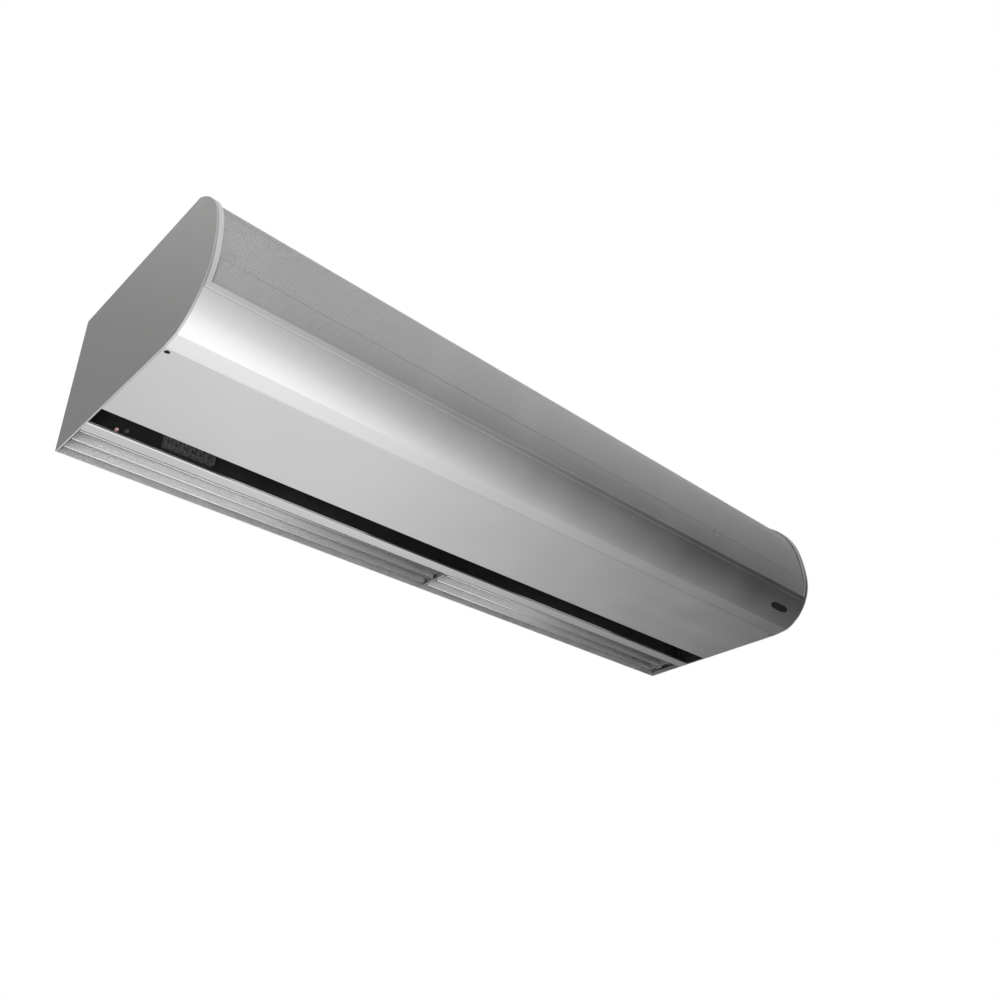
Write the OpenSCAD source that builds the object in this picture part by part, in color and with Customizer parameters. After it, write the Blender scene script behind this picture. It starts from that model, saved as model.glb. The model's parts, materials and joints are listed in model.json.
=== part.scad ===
// Wall-mounted air curtain for a doorway about 1.2 m wide.
// Two blowers on one double-ended motor draw air in through the curved
// perforated front and a long slot underneath, and blow it down through a
// narrow nozzle along the wall, where three airfoil vanes aim the sheet of air.
// X runs along the unit, the front faces -Y and Z is up. Inside placed() the
// left end plate starts at x = 0, the wall is at y = 0 and the bottom at z = 0.

/* [Cabinet] */
// Length over both end plates
unit_l = 1219; // [1150:1:1300]
// Height of the cabinet
unit_h = 215; // [211:0.5:222]
// Depth from the wall to the nose of the front
unit_d = 370; // [360:1:385]
// Height of the nose above the bottom
nose_z = 88; // [84:1:92]
// Radius of the flat arc just above the nose
nose_r = 240; // [220:1:260]
// How far round that flat arc goes, in degrees
nose_turn = 13; // [11:0.5:15]
// How far the steeper arc above it goes round to the top panel, in degrees
upper_turn = 49.8; // [46:0.1:52]
// Distance from the nose back to the edge where the lower curve starts
facet_back = 58; // [54:1:62]
// Height of that edge above the bottom
facet_z = 3; // [2.5:0.1:4]
// Distance from the nose back to the front edge of the bottom panel
panel_back = 82; // [78:1:86]
// Wall of the aluminium covers
skin = 2; // [1.6:0.1:2.4]
// Wall of the end plates
plate_t = 2.5; // [2:0.1:3]
// Wall of the back panel
back_t = 1.5; // [1.2:0.1:2]
// Wall of the galvanised sheet parts
sheet = 1.2; // [1:0.1:1.5]
// Gap where two covers meet
seam_gap = 0.8; // [0.5:0.1:1.2]
// Height of the folded flanges on the covers
flange = 10; // [8:0.5:12]

/* [Front grille] */
// Height of the joint between the grille frame and the lower cover
seam_z = 42.5; // [40:0.5:45]
// Height of the frame between that joint and the perforated window
frame_low = 7.5; // [6.5:0.5:10]
// Width of the frame at both ends, with the end plate
frame_w = 10; // [9:0.5:13]
// Width of the frame under the top edge, along the curve
frame_top = 10; // [8:0.5:12]
// Depth of the frame's edges, behind which the grille lies
frame_t = 3; // [2.5:0.1:4]
// Wall of the grille
grille_t = 1.5; // [1.2:0.1:1.8]
// How far the grille reaches under the frame
grille_lap = 6; // [5:0.5:8]
// Rows of slots in the grille
slot_rows = 9; // [7:1:11]
// Slots in each row
slot_count = 22; // [18:1:26]
// Bar between two slots of a row
slot_bar = 10; // [8:0.5:13]
// Share of each row that is open
slot_open_share = 0.5; // [0.4:0.05:0.6]

/* [Nozzle and vanes] */
// Width of the nozzle, from the back panel to its front wall
nozzle_w = 67.5; // [66:0.5:70]
// Height of the deck that the blowers stand on, at its underside
deck_z = 44; // [43:0.5:46]
// Depth of the lip in front of the nozzle
lip_w = 20; // [18:0.5:22]
// Height of the lip's front edge
lip_h = 4; // [3:0.5:5]
// Wall of the lip
lip_t = 2; // [1.6:0.1:2.4]
// Width of the lower intake slot between the lip and the bottom panel
slot_w = 39; // [36:0.5:41]
// Distance from the nozzle's walls to the middle of the nearest vane
vane_room = 10.25; // [10:0.05:10.5]
// Height of a vane's blade
vane_h = 28; // [26:0.5:29]
// Gap between the bottom of the cabinet and the vanes
vane_lift = 4.5; // [3.5:0.5:6]
// Radius of the round core that each vane turns about
core_r = 3.5; // [3.2:0.1:3.8]
// Radius of a vane's lower tip
tail_r = 0.8; // [0.6:0.1:1]
// Radius of a vane's upper edge
nose_tip_r = 1.2; // [1:0.1:1.5]
// Gap in the vanes at the middle comb
mid_gap = 10; // [8:0.5:14]
// Radius of the pins that the vanes turn on
pin_r = 2; // [1.8:0.1:2.2]
// How deep each pin sits in its vane
pin_seat = 12; // [10:1:16]
// Wall of the combs that carry the vanes
comb_t = 2; // [1.6:0.1:2.5]
// Width of the bay at the right end that holds the vane linkage
link_bay = 22; // [18:1:26]
// Length of the cranks on the vanes
crank_r = 9; // [8:0.5:10]
// Wall of the cranks and of the link bar
link_t = 2; // [1.6:0.1:2.4]
// Height of the link bar
link_h = 8; // [7:0.5:9]
// Radius of the crank pins
crank_pin_r = 1.5; // [1.3:0.1:1.7]

/* [Blowers] */
// Room between each end plate and the blower beside it
end_room = 207; // [195:1:215]
// Blades round each wheel
blade_count = 36; // [30:1:40]
// Radial depth of the blades
blade_deep = 12.5; // [11:0.5:14]
// Wall of the blades
blade_t = 0.9; // [0.8:0.1:1.2]
// Gap between the wheel and the first arc of the scroll
scroll_gap = 8.6; // [7.5:0.1:9]
// How much the scroll opens with each quarter turn
scroll_step = 14.4; // [13.8:0.1:14.6]
// Gap between each end of a wheel and its housing
wheel_gap = 8; // [6:0.5:10]
// Clear height under the scrolls
scroll_rise = 15; // [14:0.5:16]
// Gap between the scrolls and the top panel
scroll_top_gap = 9.2; // [8.6:0.1:11]
// Distance between the motor and each housing
inlet_room = 111; // [100:1:125]

/* [Motor] */
// How much wider the motor is than the blower wheels
motor_more = 1; // [0.5:0.5:3]
// Length of the motor's shell
motor_l = 90; // [80:1:100]
// Wall of the motor's shell
shell_t = 2; // [1.6:0.1:2.5]
// Thickness of the end bells
bell_t = 8; // [7:0.5:10]
// Diameter of the shaft
shaft_d = 12.7; // [12:0.1:13]
// Outer radius of the rubber rings
ring_r = 30; // [28:0.5:32]
// Width of the rubber rings
ring_w = 14; // [12:1:16]
// Wall of the motor cradle
cradle_t = 2.5; // [2:0.1:3]
// Gap between the deck and the arms of the motor cradle
cradle_lift = 9.8; // [6:0.1:12]

/* [Electrics] */
// Diameter of the capacitor
cap_d = 40; // [35:1:45]
// Length of the capacitor
cap_l = 70; // [60:1:76]
// Width of the junction box
box_w = 120; // [100:1:125]
// Depth of the junction box
box_d = 58; // [50:1:70]
// Height of the junction box
box_h = 80; // [70:1:90]
// Radius of the supply cable's way in
entry_r = 8; // [7:0.5:9]
// Length of the terminal strip
strip_l = 72; // [60:1:80]
// Terminals on the strip
strip_ways = 6; // [4:1:8]

/* [Mounting] */
// Height of the lower wall bolts above the bottom
bolt_low = 60; // [55:1:65]
// Distance from the top down to the upper wall bolts
bolt_drop = 35; // [30:1:40]
// Distance from each end of the unit to the wall bolts
bolt_end = 152.5; // [140:0.5:165]
// Radius of the wall bolt holes
wall_r = 4.5; // [4:0.1:5.5]
// Distance from each end of the unit to the hanging inserts
hang_end = 76.5; // [70:0.5:85]
// Distance between the hanging inserts in depth
hang_y = 180; // [160:1:190]
// Radius of the thread in the hanging inserts
hang_r = 5; // [4:0.1:5.5]

/* [Hidden] */
$fn = 96;
// Degrees of arc between two points of the front's profile
arc_step = 2;
// Overrun of every cut past the face it starts from
cut = 1;
// Gap between two pieces of one body that sit on each other
seat = 0.2;
// Radial gap where a pin or shaft turns
run_gap = 0.05;
// Radial gap where a pin or shaft is pressed in
press_gap = 0.02;

// Finishes, as they look on the real unit
anodised = [0.80, 0.80, 0.80];
end_grey = [0.62, 0.61, 0.60];
galvanised = [0.66, 0.68, 0.70];
black_paint = [0.06, 0.06, 0.06];
steel = [0.55, 0.56, 0.58];
rubber_black = [0.10, 0.10, 0.10];
plastic_grey = [0.45, 0.45, 0.46];
motor_paint = [0.16, 0.17, 0.18];

// Profile of the front. Points are (y, z), angles are seen along +X.
nose = [-unit_d, nose_z];
facet_edge = [facet_back - unit_d, facet_z];
panel_d = unit_d - panel_back;
panel_edge = [-panel_d, 0];
// Radius of the arc that leaves p along its normal n and passes through q
function tangent_r(p, n, q) = ((q - p) * (q - p)) / (2 * ((q - p) * n));
function polar(r, a) = [r * cos(a), r * sin(a)];
function angle_of(v) = (atan2(v[1], v[0]) + 360) % 360;
lower_r = tangent_r(nose, [1, 0], facet_edge);
lower_c = nose + [lower_r, 0];
nose_c = nose + [nose_r, 0];
nose_end = nose_c + polar(nose_r, 180 - nose_turn);
top_a = 180 - nose_turn - upper_turn;
upper_r = (unit_h - nose_end[1]) / (sin(top_a) - sin(nose_turn));
upper_c = nose_end - polar(upper_r, 180 - nose_turn);
top_d = -(upper_c + polar(upper_r, top_a))[0];
facet_a = angle_of(facet_edge - lower_c);
seam_a = 180 + asin((nose_z - seam_z) / lower_r);
window_a = 180 + asin((nose_z - seam_z - frame_low) / lower_r);
window_top_a = top_a + arc_deg(frame_top, upper_r);
// Degrees of arc that a length covers on a radius
function arc_deg(length, r) = length / r * 180 / PI;

// Inner run of the cabinet between the end plates
run_l = unit_l - 2 * plate_t;
window_l = unit_l - 2 * frame_w;

// Nozzle and vanes, with depths from the wall
nozzle_front = back_t + nozzle_w;
lip_front = nozzle_front + lip_w - seat;
slot_front = lip_front + slot_w;
vane_mid_y = -(back_t + nozzle_w / 2);
vane_pitch = nozzle_w / 2 - vane_room;
vane_y = [vane_mid_y + vane_pitch, vane_mid_y, vane_mid_y - vane_pitch];
pivot_z = vane_lift + vane_h / 2;
collar = 1;
end_play = 0.3;
vane_x0 = plate_t + comb_t + collar + end_play;
vane_x1 = unit_l - plate_t - comb_t - link_bay;
comb_floor = vane_lift + tail_r;
crank_z = pivot_z - crank_r;
link_x = vane_x1 + link_t + end_play;

// Scroll of the blowers: four arcs, each a step wider than the last. Wheels and
// scrolls fill the height of the cabinet and the room left along it.
wheel_d = unit_h - skin - scroll_top_gap - scroll_rise - 2 * sheet - 2 * scroll_gap
    - 3 * scroll_step;
wheel_r = wheel_d / 2;
motor_half = motor_l / 2 + bell_t;
function scroll_r(i) = wheel_r + scroll_gap + i * scroll_step;
deck_top = deck_z + sheet;
scroll_rear = scroll_r(3) + scroll_step / 2;
axis_y = -(back_t + seat + sheet + scroll_rear);
axis_z = scroll_rise + sheet + scroll_r(1) - scroll_step / 2;
housing_l = run_l / 2 - end_room - inlet_room - motor_half;
wheel_l = housing_l - 2 * wheel_gap;
duct_y = -nozzle_front - axis_y;
inlet_gap = 2;
inlet_bell = wheel_gap - inlet_gap;
inlet_r = wheel_r - blade_deep - sheet - inlet_gap;
mid_x = unit_l / 2;
housing_x = [mid_x - motor_half - inlet_room - housing_l, mid_x + motor_half + inlet_room];
tab_w = 12;

// Motor
motor_r = (wheel_d + motor_more) / 2;
shaft_r = shaft_d / 2;
hub_r = ring_r * 2 / 3;
hub_l = ring_w + 2 * cradle_t;
bearing_r = hub_r * 0.7;
stator_bore = motor_r * 0.6;
air_gap = 0.7;
core_l = motor_l * 0.55;
wheel_hub_r = 16;
wheel_hub_l = 30;
disc_t = 2;
wheel_mid = inlet_room + housing_l / 2 + motor_half;
shaft_half = wheel_mid + wheel_hub_l / 2;
cradle_half = motor_half + seat + ring_w / 2 + cradle_t / 2;

// Every piece is drawn from the left, bottom, wall corner of the cabinet and
// moved so that the origin lies at the centre of the wall bolts.
mount_z = (bolt_low + unit_h - bolt_drop) / 2;
module placed() { translate([-unit_l / 2, 0, -mount_z]) children(); }
// Draws a section given in (y, z) and runs it along X
module along_x(x, length) { translate([x, 0, 0]) rotate([90, 0, 90]) linear_extrude(length) children(); }
// The same, about the axis of the blowers
module on_axis(x, length) { along_x(x, length) translate([axis_y, axis_z]) children(); }
module box_at(x, y, z) {
    translate([x[0], y[0], z[0]]) cube([x[1] - x[0], y[1] - y[0], z[1] - z[0]]);
}
module wedge(r, a0, a1) {
    polygon([[0, 0], polar(r, a0), polar(r, (a0 + a1) / 2), polar(r, a1)]);
}
// Part of a ring, from angle a0 to a1, with its wall inside the radius r
module arc_band(c, r, wall, a0, a1) {
    translate(c) intersection() {
        difference() { circle(r); circle(r - wall); }
        wedge(2 * r, a0, a1);
    }
}
module ring(r_out, r_in) { difference() { circle(r_out); circle(r_in); } }
// Two circles on one line, joined by the straight lines that touch both
module tapered(r0, r1, reach) {
    lean = acos((r0 - r1) / reach);
    circle(r0);
    translate([0, reach]) circle(r1);
    polygon([polar(r0, 90 - lean), [0, reach] + polar(r1, 90 - lean),
        [0, reach] + polar(r1, 90 + lean), polar(r0, 90 + lean)]);
}

// Cabinet

// Points along an arc, one for each arc_step, without its first point
function arc_points(c, r, a0, a1) =
    let (n = ceil(abs(a1 - a0) / arc_step)) [for (i = [1 : n]) c + polar(r, a0 + (a1 - a0) * i / n)];
// The curved front at a depth below its face, from the facet up to an angle
function front_points(depth, a_top) = concat([lower_c + polar(lower_r - depth, facet_a)],
    arc_points(lower_c, lower_r - depth, facet_a, 180),
    arc_points(nose_c, nose_r - depth, 180, 180 - nose_turn),
    arc_points(upper_c, upper_r - depth, 180 - nose_turn, a_top));
module end_plate(x) {
    along_x(x, plate_t) polygon(concat([[0, 0], panel_edge], front_points(0, top_a), [[0, unit_h]]));
}
// Everything behind the curved front, at a depth below its face
module behind_front(depth) { polygon(concat([lower_c], front_points(depth, 90), [upper_c])); }
// The sector from a_low on the lower arc to a_top on the upper one
module front_sector(a_low, a_top) {
    low_end = lower_c + polar(2 * lower_r, a_low);
    top_end = upper_c + polar(2 * upper_r, a_top);
    polygon([lower_c, low_end, [-2 * unit_d, low_end[1]], [-2 * unit_d, top_end[1]], top_end, upper_c]);
}
module end_plate_left() { color(end_grey) placed() end_plate(0); }
module end_plate_right() { color(end_grey) placed() end_plate(unit_l - plate_t); }

module back_panel() {
    color(galvanised) placed() difference() {
        union() {
            box_at([plate_t, unit_l - plate_t], [-back_t, 0], [0, unit_h - skin - seat]);
            box_at([plate_t, unit_l - plate_t], [-flange, 0],
                [unit_h - skin - seat - back_t, unit_h - skin - seat]);
        }
        for (x = [bolt_end, unit_l - bolt_end], z = [bolt_low, unit_h - bolt_drop])
            translate([x, cut, z]) rotate([90, 0, 0]) cylinder(r = wall_r, h = back_t + 2 * cut);
        entry_hole(entry_r + bushing_wall + seat);
    }
}
module hang_points() {
    for (x = [hang_end, unit_l - hang_end], y = [-1, 1])
        translate([x, (y * hang_y - top_d) / 2, 0]) children();
}
insert_wall = 2;
insert_lap = 3;
insert_r = hang_r + insert_wall;
insert_flange = insert_r + insert_lap;
insert_l = 14;
module top_panel() {
    color(anodised) placed() difference() {
        box_at([plate_t, unit_l - plate_t], [-(top_d - skin + seam_gap), 0], [unit_h - skin, unit_h]);
        hang_points() translate([0, 0, unit_h - skin - cut])
            cylinder(r = insert_r + press_gap, h = skin + 2 * cut);
    }
}
module hanging_inserts() {
    color(steel) placed() hang_points() difference() {
        union() {
            translate([0, 0, unit_h - insert_l]) cylinder(r = insert_r, h = insert_l);
            translate([0, 0, unit_h - skin - seat - skin]) cylinder(r = insert_flange, h = skin);
        }
        translate([0, 0, unit_h - insert_l - cut]) cylinder(r = hang_r, h = insert_l + 2 * cut);
    }
}

// The bottom panel is a shallow pan. Its front corners are screwed to an angle
// on each end plate, and its ends rest under them.
screw_head_r = 4;
screw_r = 2;
screw_l = 9;
screw_inset = 8;
angle_w = 14;
module panel_screw_at() {
    for (x = [screw_inset, unit_l - screw_inset])
        translate([x, -(panel_d - screw_inset), 0]) children();
}
module screw_shape(grow) {
    cylinder(r1 = screw_head_r + grow, r2 = screw_r + grow, h = skin);
    cylinder(r = screw_r + grow, h = screw_l);
}
module bottom_panel() {
    color(anodised) placed() difference() {
        along_x(plate_t, run_l) {
            polygon([[-slot_front, 0], [-slot_front, flange], [-slot_front - skin, flange],
                [-slot_front - skin, skin], [-panel_d + seam_gap + skin, skin],
                [-panel_d + seam_gap + skin, flange], [-panel_d + seam_gap, flange],
                [-panel_d + seam_gap, 0]]);
        }
        panel_screw_at() screw_shape(press_gap);
    }
}
module panel_angle() {
    along_y = [-(panel_d - seam_gap - skin - seat), -(slot_front + skin + seat)];
    box_at([0, angle_w], along_y, [skin + seat, skin + seat + back_t]);
    box_at([0, back_t], along_y, [skin + seat, skin + seat + angle_w]);
}
module panel_angles() {
    color(galvanised) placed() difference() {
        union() {
            translate([plate_t, 0, 0]) panel_angle();
            translate([unit_l - plate_t, 0, 0]) mirror([1, 0, 0]) panel_angle();
        }
        panel_screw_at() screw_shape(press_gap);
    }
}
module panel_screws() { color(rubber_black) placed() panel_screw_at() screw_shape(0); }

// The lower cover: facet, curve, and a flange at each long edge
cover_a = seam_a + arc_deg(seam_gap, lower_r);
flange_r = lower_r - skin;
rail_r = flange_r - flange;
module lower_part(r, a, edge) {
    polygon(concat([edge, lower_c + polar(r, facet_a)], arc_points(lower_c, r, facet_a, a),
        [lower_c + polar(r - 2 * flange, a), [edge[0], 2 * flange]]));
}
module lower_front_cover() {
    color(anodised) placed() along_x(plate_t, run_l) difference() {
        lower_part(lower_r, cover_a, panel_edge);
        lower_part(flange_r, cover_a + arc_deg(skin, lower_r), panel_edge + [-skin, skin]);
        translate(lower_c) circle(rail_r);
    }
}
// A rail behind both flanges ties the lower cover and the grille frame together
module front_rail() {
    rail_deg = arc_deg(flange, lower_r);
    color(galvanised) placed() along_x(plate_t, run_l)
        arc_band(lower_c, rail_r - seat, skin, seam_a - rail_deg, seam_a + rail_deg);
}

// The grille frame: a curved sheet with one long window and a flange at the seam
module grille_frame() {
    inner_turn = arc_deg(skin, lower_r);
    color(anodised) placed() {
        difference() {
            along_x(plate_t, run_l) difference() {
                intersection() { behind_front(0); front_sector(seam_a, top_a); }
                intersection() { behind_front(frame_t); front_sector(seam_a - inner_turn, 90); }
                translate(lower_c) circle(rail_r);
            }
            along_x(frame_w, window_l) front_sector(window_a, window_top_a);
        }
        along_x(frame_w, window_l) translate([-(top_d + skin), unit_h - 2 * skin - seat])
            square([skin + flange, skin]);
    }
}
module intake_grille() {
    lap_low = arc_deg(grille_lap / 2, lower_r);
    lap_top = arc_deg(grille_lap, upper_r);
    depth = frame_t + seat;
    pitch = (window_l + slot_bar) / slot_count;
    color(anodised) placed() difference() {
        along_x(frame_w - grille_lap / 2, window_l + grille_lap) intersection() {
            difference() { behind_front(depth); behind_front(depth + grille_t); }
            front_sector(window_a + lap_low, window_top_a - lap_top);
        }
        for (row = [0 : slot_rows - 1], i = [0 : slot_count - 1]) {
            shift = row % 2 == 0 ? 0 : pitch / 2;
            length = min(pitch - slot_bar, window_l - i * pitch - shift);
            if (length > slot_bar) along_x(frame_w + i * pitch + shift, length) slot_wedge(row, depth);
        }
    }
}
// One row's cut, across whichever arc of the front the row lies on
low_len = lower_r * (window_a - 180) * PI / 180;
nose_len = nose_r * nose_turn * PI / 180;
upper_len = upper_r * (180 - nose_turn - window_top_a) * PI / 180;
row_pitch = (low_len + nose_len + upper_len) / slot_rows;
module slot_wedge(row, depth) {
    mid = (row + 0.5) * row_pitch;
    on_low = mid < low_len;
    on_nose = !on_low && mid < low_len + nose_len;
    c = on_low ? lower_c : on_nose ? nose_c : upper_c;
    r = on_low ? lower_r : on_nose ? nose_r : upper_r;
    a = on_low ? window_a - arc_deg(mid, lower_r)
        : on_nose ? 180 - arc_deg(mid - low_len, nose_r)
        : 180 - nose_turn - arc_deg(mid - low_len - nose_len, upper_r);
    half = arc_deg(row_pitch * slot_open_share / 2, r);
    outer = r - depth + cut;
    inner = r - depth - grille_t - cut;
    translate(c) polygon([polar(outer, a - half), polar(outer, a + half), polar(inner, a + half),
        polar(inner, a - half)]);
}

// Nozzle

module nozzle_plenum() {
    wall_y = [-nozzle_front - sheet, -nozzle_front];
    color(black_paint) placed() difference() {
        union() {
            box_at([plate_t, unit_l - plate_t], [-nozzle_front - sheet, -back_t - seat], [deck_z, deck_top]);
            box_at([plate_t, unit_l - plate_t], wall_y, [lip_t + seat, deck_z]);
            box_at([plate_t, unit_l - plate_t], [-back_t - seat - sheet, -back_t - seat],
                [deck_z - flange, deck_z]);
        }
        for (x = housing_x)
            box_at([x + sheet, x + housing_l - sheet], [-nozzle_front, -back_t - seat - sheet],
                [deck_z - cut, deck_top + cut]);
    }
}
module nozzle_lip() {
    leg_y = -nozzle_front - sheet - seat;
    color(anodised) placed() along_x(plate_t, run_l)
        polygon([[-nozzle_front, 0], [-lip_front, 0], [-lip_front, lip_h], [-lip_front + lip_t, lip_h],
            [-lip_front + lip_t, lip_t], [leg_y - lip_t, lip_t], [leg_y - lip_t, lip_t + flange],
            [leg_y, lip_t + flange], [leg_y, lip_t], [-nozzle_front, lip_t]]);
}

// Three combs carry the pins of the vanes
comb_rear = back_t + seat + sheet + seat;
comb_span = [-(nozzle_front - seat), -comb_rear];
comb_top = deck_z - seat;
module comb_plate() {
    translate([comb_span[0], comb_floor]) square([comb_span[1] - comb_span[0], comb_top - comb_floor]);
}
module comb(x) {
    color(steel) placed() along_x(x, comb_t) difference() {
        comb_plate();
        for (y = vane_y) translate([y, pivot_z]) circle(pin_r + run_gap);
    }
}
module vane_comb_left() { comb(plate_t); }
module vane_comb_right() { comb(unit_l - plate_t - comb_t); }
module vane_comb_middle() {
    comb(mid_x - comb_t / 2);
    color(steel) placed()
        box_at([mid_x + comb_t / 2, mid_x + comb_t / 2 + flange], comb_span, [comb_top - comb_t, comb_top]);
}

module vane_section() {
    difference() {
        union() {
            tapered(core_r, nose_tip_r, vane_h / 2 - nose_tip_r);
            mirror([0, 1]) tapered(core_r, tail_r, vane_h / 2 - tail_r);
        }
        circle(pin_r + press_gap);
    }
}
// Each vane is two lengths of one extrusion, with the middle comb between them
module vane(i) {
    color(anodised) placed() for (x = [[vane_x0, mid_x - mid_gap / 2], [mid_x + mid_gap / 2, vane_x1]])
        along_x(x[0], x[1] - x[0]) translate([vane_y[i], pivot_z]) vane_section();
}
module vane_rear() { vane(0); }
module vane_middle() { vane(1); }
module vane_front() { vane(2); }

// Pins at the left end and in the middle, with collars that keep the vane off
// the combs
module pivot(i) {
    start = plate_t + seat;
    mid_collar = (mid_gap - comb_t) / 2 - end_play;
    color(steel) placed() {
        along_x(start, vane_x0 + pin_seat - start) translate([vane_y[i], pivot_z]) circle(pin_r);
        along_x(mid_x - mid_gap / 2 - pin_seat, mid_gap + 2 * pin_seat)
            translate([vane_y[i], pivot_z]) circle(pin_r);
        for (x = [[vane_x0, -collar], [mid_x - mid_gap / 2, mid_collar], [mid_x + mid_gap / 2, -mid_collar]])
            along_x(min(x[0], x[0] + x[1]), abs(x[1]))
                translate([vane_y[i], pivot_z]) ring(core_r, pin_r - run_gap);
    }
}
module pivot_rear() { pivot(0); }
module pivot_middle() { pivot(1); }
module pivot_front() { pivot(2); }

// Cranks at the right end: a pin into the vane and on into the comb, an arm
// that hangs from it, and a small pin that carries the link bar
module crank(i) {
    color(steel) placed() {
        along_x(vane_x1 - pin_seat, unit_l - plate_t - seat - vane_x1 + pin_seat)
            translate([vane_y[i], pivot_z]) circle(pin_r);
        along_x(vane_x1, link_t) translate([vane_y[i], pivot_z]) mirror([0, 1])
            tapered(core_r, 2 * crank_pin_r, crank_r);
        along_x(vane_x1, 2 * link_t + 2 * end_play + collar)
            translate([vane_y[i], crank_z]) circle(crank_pin_r);
    }
}
module crank_rear() { crank(0); }
module crank_middle() { crank(1); }
module crank_front() { crank(2); }

module vane_link() {
    end = 2.5 * crank_pin_r;
    color(steel) placed() along_x(link_x, link_t) difference() {
        union() {
            translate([vane_y[2] - end, crank_z - link_h / 2])
                square([2 * vane_pitch + 2 * end, link_h]);
            translate([vane_mid_y - vane_pitch / 4, link_drop]) square([vane_pitch / 2, crank_z - link_drop]);
        }
        for (y = vane_y) translate([y, crank_z]) circle(crank_pin_r + run_gap);
    }
}
// Bottom of the finger tab on the link bar
link_drop = lip_t;

// Blowers

// The inside of a scroll, grown by the wall for its outside
module scroll(grow) {
    h = scroll_step / 2;
    big = 2 * scroll_r(3);
    down = deck_top + seat - axis_z;
    translate([-h, -h]) intersection() { circle(scroll_r(0) + grow); translate([0, -big]) square(big); }
    translate([-h, h]) intersection() { circle(scroll_r(1) + grow); translate([-big, -big]) square(big); }
    translate([h, h]) intersection() { circle(scroll_r(2) + grow); translate([-big, 0]) square(big); }
    translate([h, -h]) intersection() { circle(scroll_r(3) + grow); square(big); }
    translate([-h, -h]) square(scroll_step);
    translate([duct_y - grow, down]) square([scroll_rear - duct_y + 2 * grow, -h - down]);
}
module blower_housing(x) {
    color(galvanised) placed() {
        on_axis(x + sheet, housing_l - 2 * sheet) difference() { scroll(sheet); scroll(0); }
        for (side = [x, x + housing_l - sheet])
            on_axis(side, sheet) difference() { scroll(sheet); circle(inlet_r + inlet_bell + seat); }
        for (tab = [[x - tab_w, x + sheet], [x + housing_l - sheet, x + housing_l + tab_w]])
            box_at(tab, [-nozzle_front, axis_y + scroll_rear], [deck_top + seat, deck_top + seat + sheet]);
    }
}
module blower_housing_left() { blower_housing(housing_x[0]); }
module blower_housing_right() { blower_housing(housing_x[1]); }

// Rounded inlet rings lead the air into both ends of each wheel
module inlet_ring() {
    face = seat + sheet;
    reach = wheel_gap + inlet_bell / 2;
    rotate([0, 90, 0]) rotate_extrude() {
        translate([inlet_r + inlet_bell, seat]) square([inlet_bell, sheet]);
        arc_band([inlet_r + inlet_bell, face - inlet_bell], inlet_bell, sheet, 90, 180);
        translate([inlet_r, -reach]) square([sheet, reach + face - inlet_bell]);
    }
}
module inlet_rings() {
    color(galvanised) placed() for (x = housing_x) translate([0, axis_y, axis_z]) {
        translate([x, 0, 0]) mirror([1, 0, 0]) inlet_ring();
        translate([x + housing_l, 0, 0]) inlet_ring();
    }
}

// Forward-curved blade: an arc that starts radial at the inner edge and leans
// towards the turning direction at the rim
module blade() {
    root = wheel_r - blade_deep;
    curl = blade_deep * 1.05;
    intersection() {
        translate([root, -curl]) ring(curl, curl - blade_t);
        translate([root - blade_t, -curl * 0.8]) square([2 * blade_deep, curl]);
        ring(wheel_r - blade_t / 2, root - blade_t / 2);
    }
}
module blower_wheel(x) {
    rim_w = blade_t * 6;
    x0 = x + wheel_gap;
    mid = x0 + wheel_l / 2;
    color(steel) placed() {
        on_axis(x0, wheel_l) for (i = [0 : blade_count - 1]) rotate(i * 360 / blade_count) blade();
        for (end = [x0, x0 + wheel_l - rim_w])
            on_axis(end, rim_w) ring(wheel_r, wheel_r - 2 * blade_t);
        on_axis(mid - disc_t / 2, disc_t) ring(wheel_r - blade_t, wheel_hub_r - disc_t);
        difference() {
            on_axis(mid - wheel_hub_l / 2, wheel_hub_l) ring(wheel_hub_r, shaft_r + press_gap);
            translate([hub_screw_x(mid), axis_y, axis_z])
                cylinder(r = hub_screw_r + press_gap, h = wheel_hub_r + cut);
        }
    }
}
module blower_wheel_left() { blower_wheel(housing_x[0]); }
module blower_wheel_right() { blower_wheel(housing_x[1]); }
hub_screw_r = 3;
function hub_screw_x(mid) = mid + wheel_hub_l / 4;
module hub_screws() {
    color(rubber_black) placed() for (x = housing_x)
        translate([hub_screw_x(x + housing_l / 2), axis_y, axis_z + shaft_r + press_gap])
            cylinder(r = hub_screw_r, h = wheel_hub_r - shaft_r - disc_t);
}

// Motor
module motor_shaft() { color(steel) placed() on_axis(mid_x - shaft_half, 2 * shaft_half) circle(shaft_r); }
module motor_rotor() {
    color(galvanised) placed() on_axis(mid_x - core_l / 2, core_l)
        ring(stator_bore - air_gap, shaft_r + press_gap);
}
module motor_stator() {
    color(steel) placed() on_axis(mid_x - core_l / 2, core_l)
        ring(motor_r - shell_t - press_gap, stator_bore);
}
module motor_shell() {
    color(motor_paint) placed() on_axis(mid_x - motor_l / 2, motor_l) ring(motor_r, motor_r - shell_t);
}
module motor_ends() {
    for (side = [0, 1]) translate([mid_x, axis_y, axis_z]) mirror([side, 0, 0]) rotate([0, 90, 0]) children();
}
module motor_end_bells() {
    color(motor_paint) placed() motor_ends() difference() {
        union() {
            translate([0, 0, motor_l / 2]) cylinder(r = motor_r, h = bell_t);
            translate([0, 0, motor_half]) cylinder(r = hub_r - press_gap, h = hub_l);
        }
        translate([0, 0, motor_l / 2 - cut])
            cylinder(r = bearing_r + press_gap, h = bell_t + hub_l - shell_t + cut);
        translate([0, 0, motor_l / 2 - cut])
            cylinder(r = shaft_r + shell_t, h = bell_t + hub_l + 2 * cut);
    }
}
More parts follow.
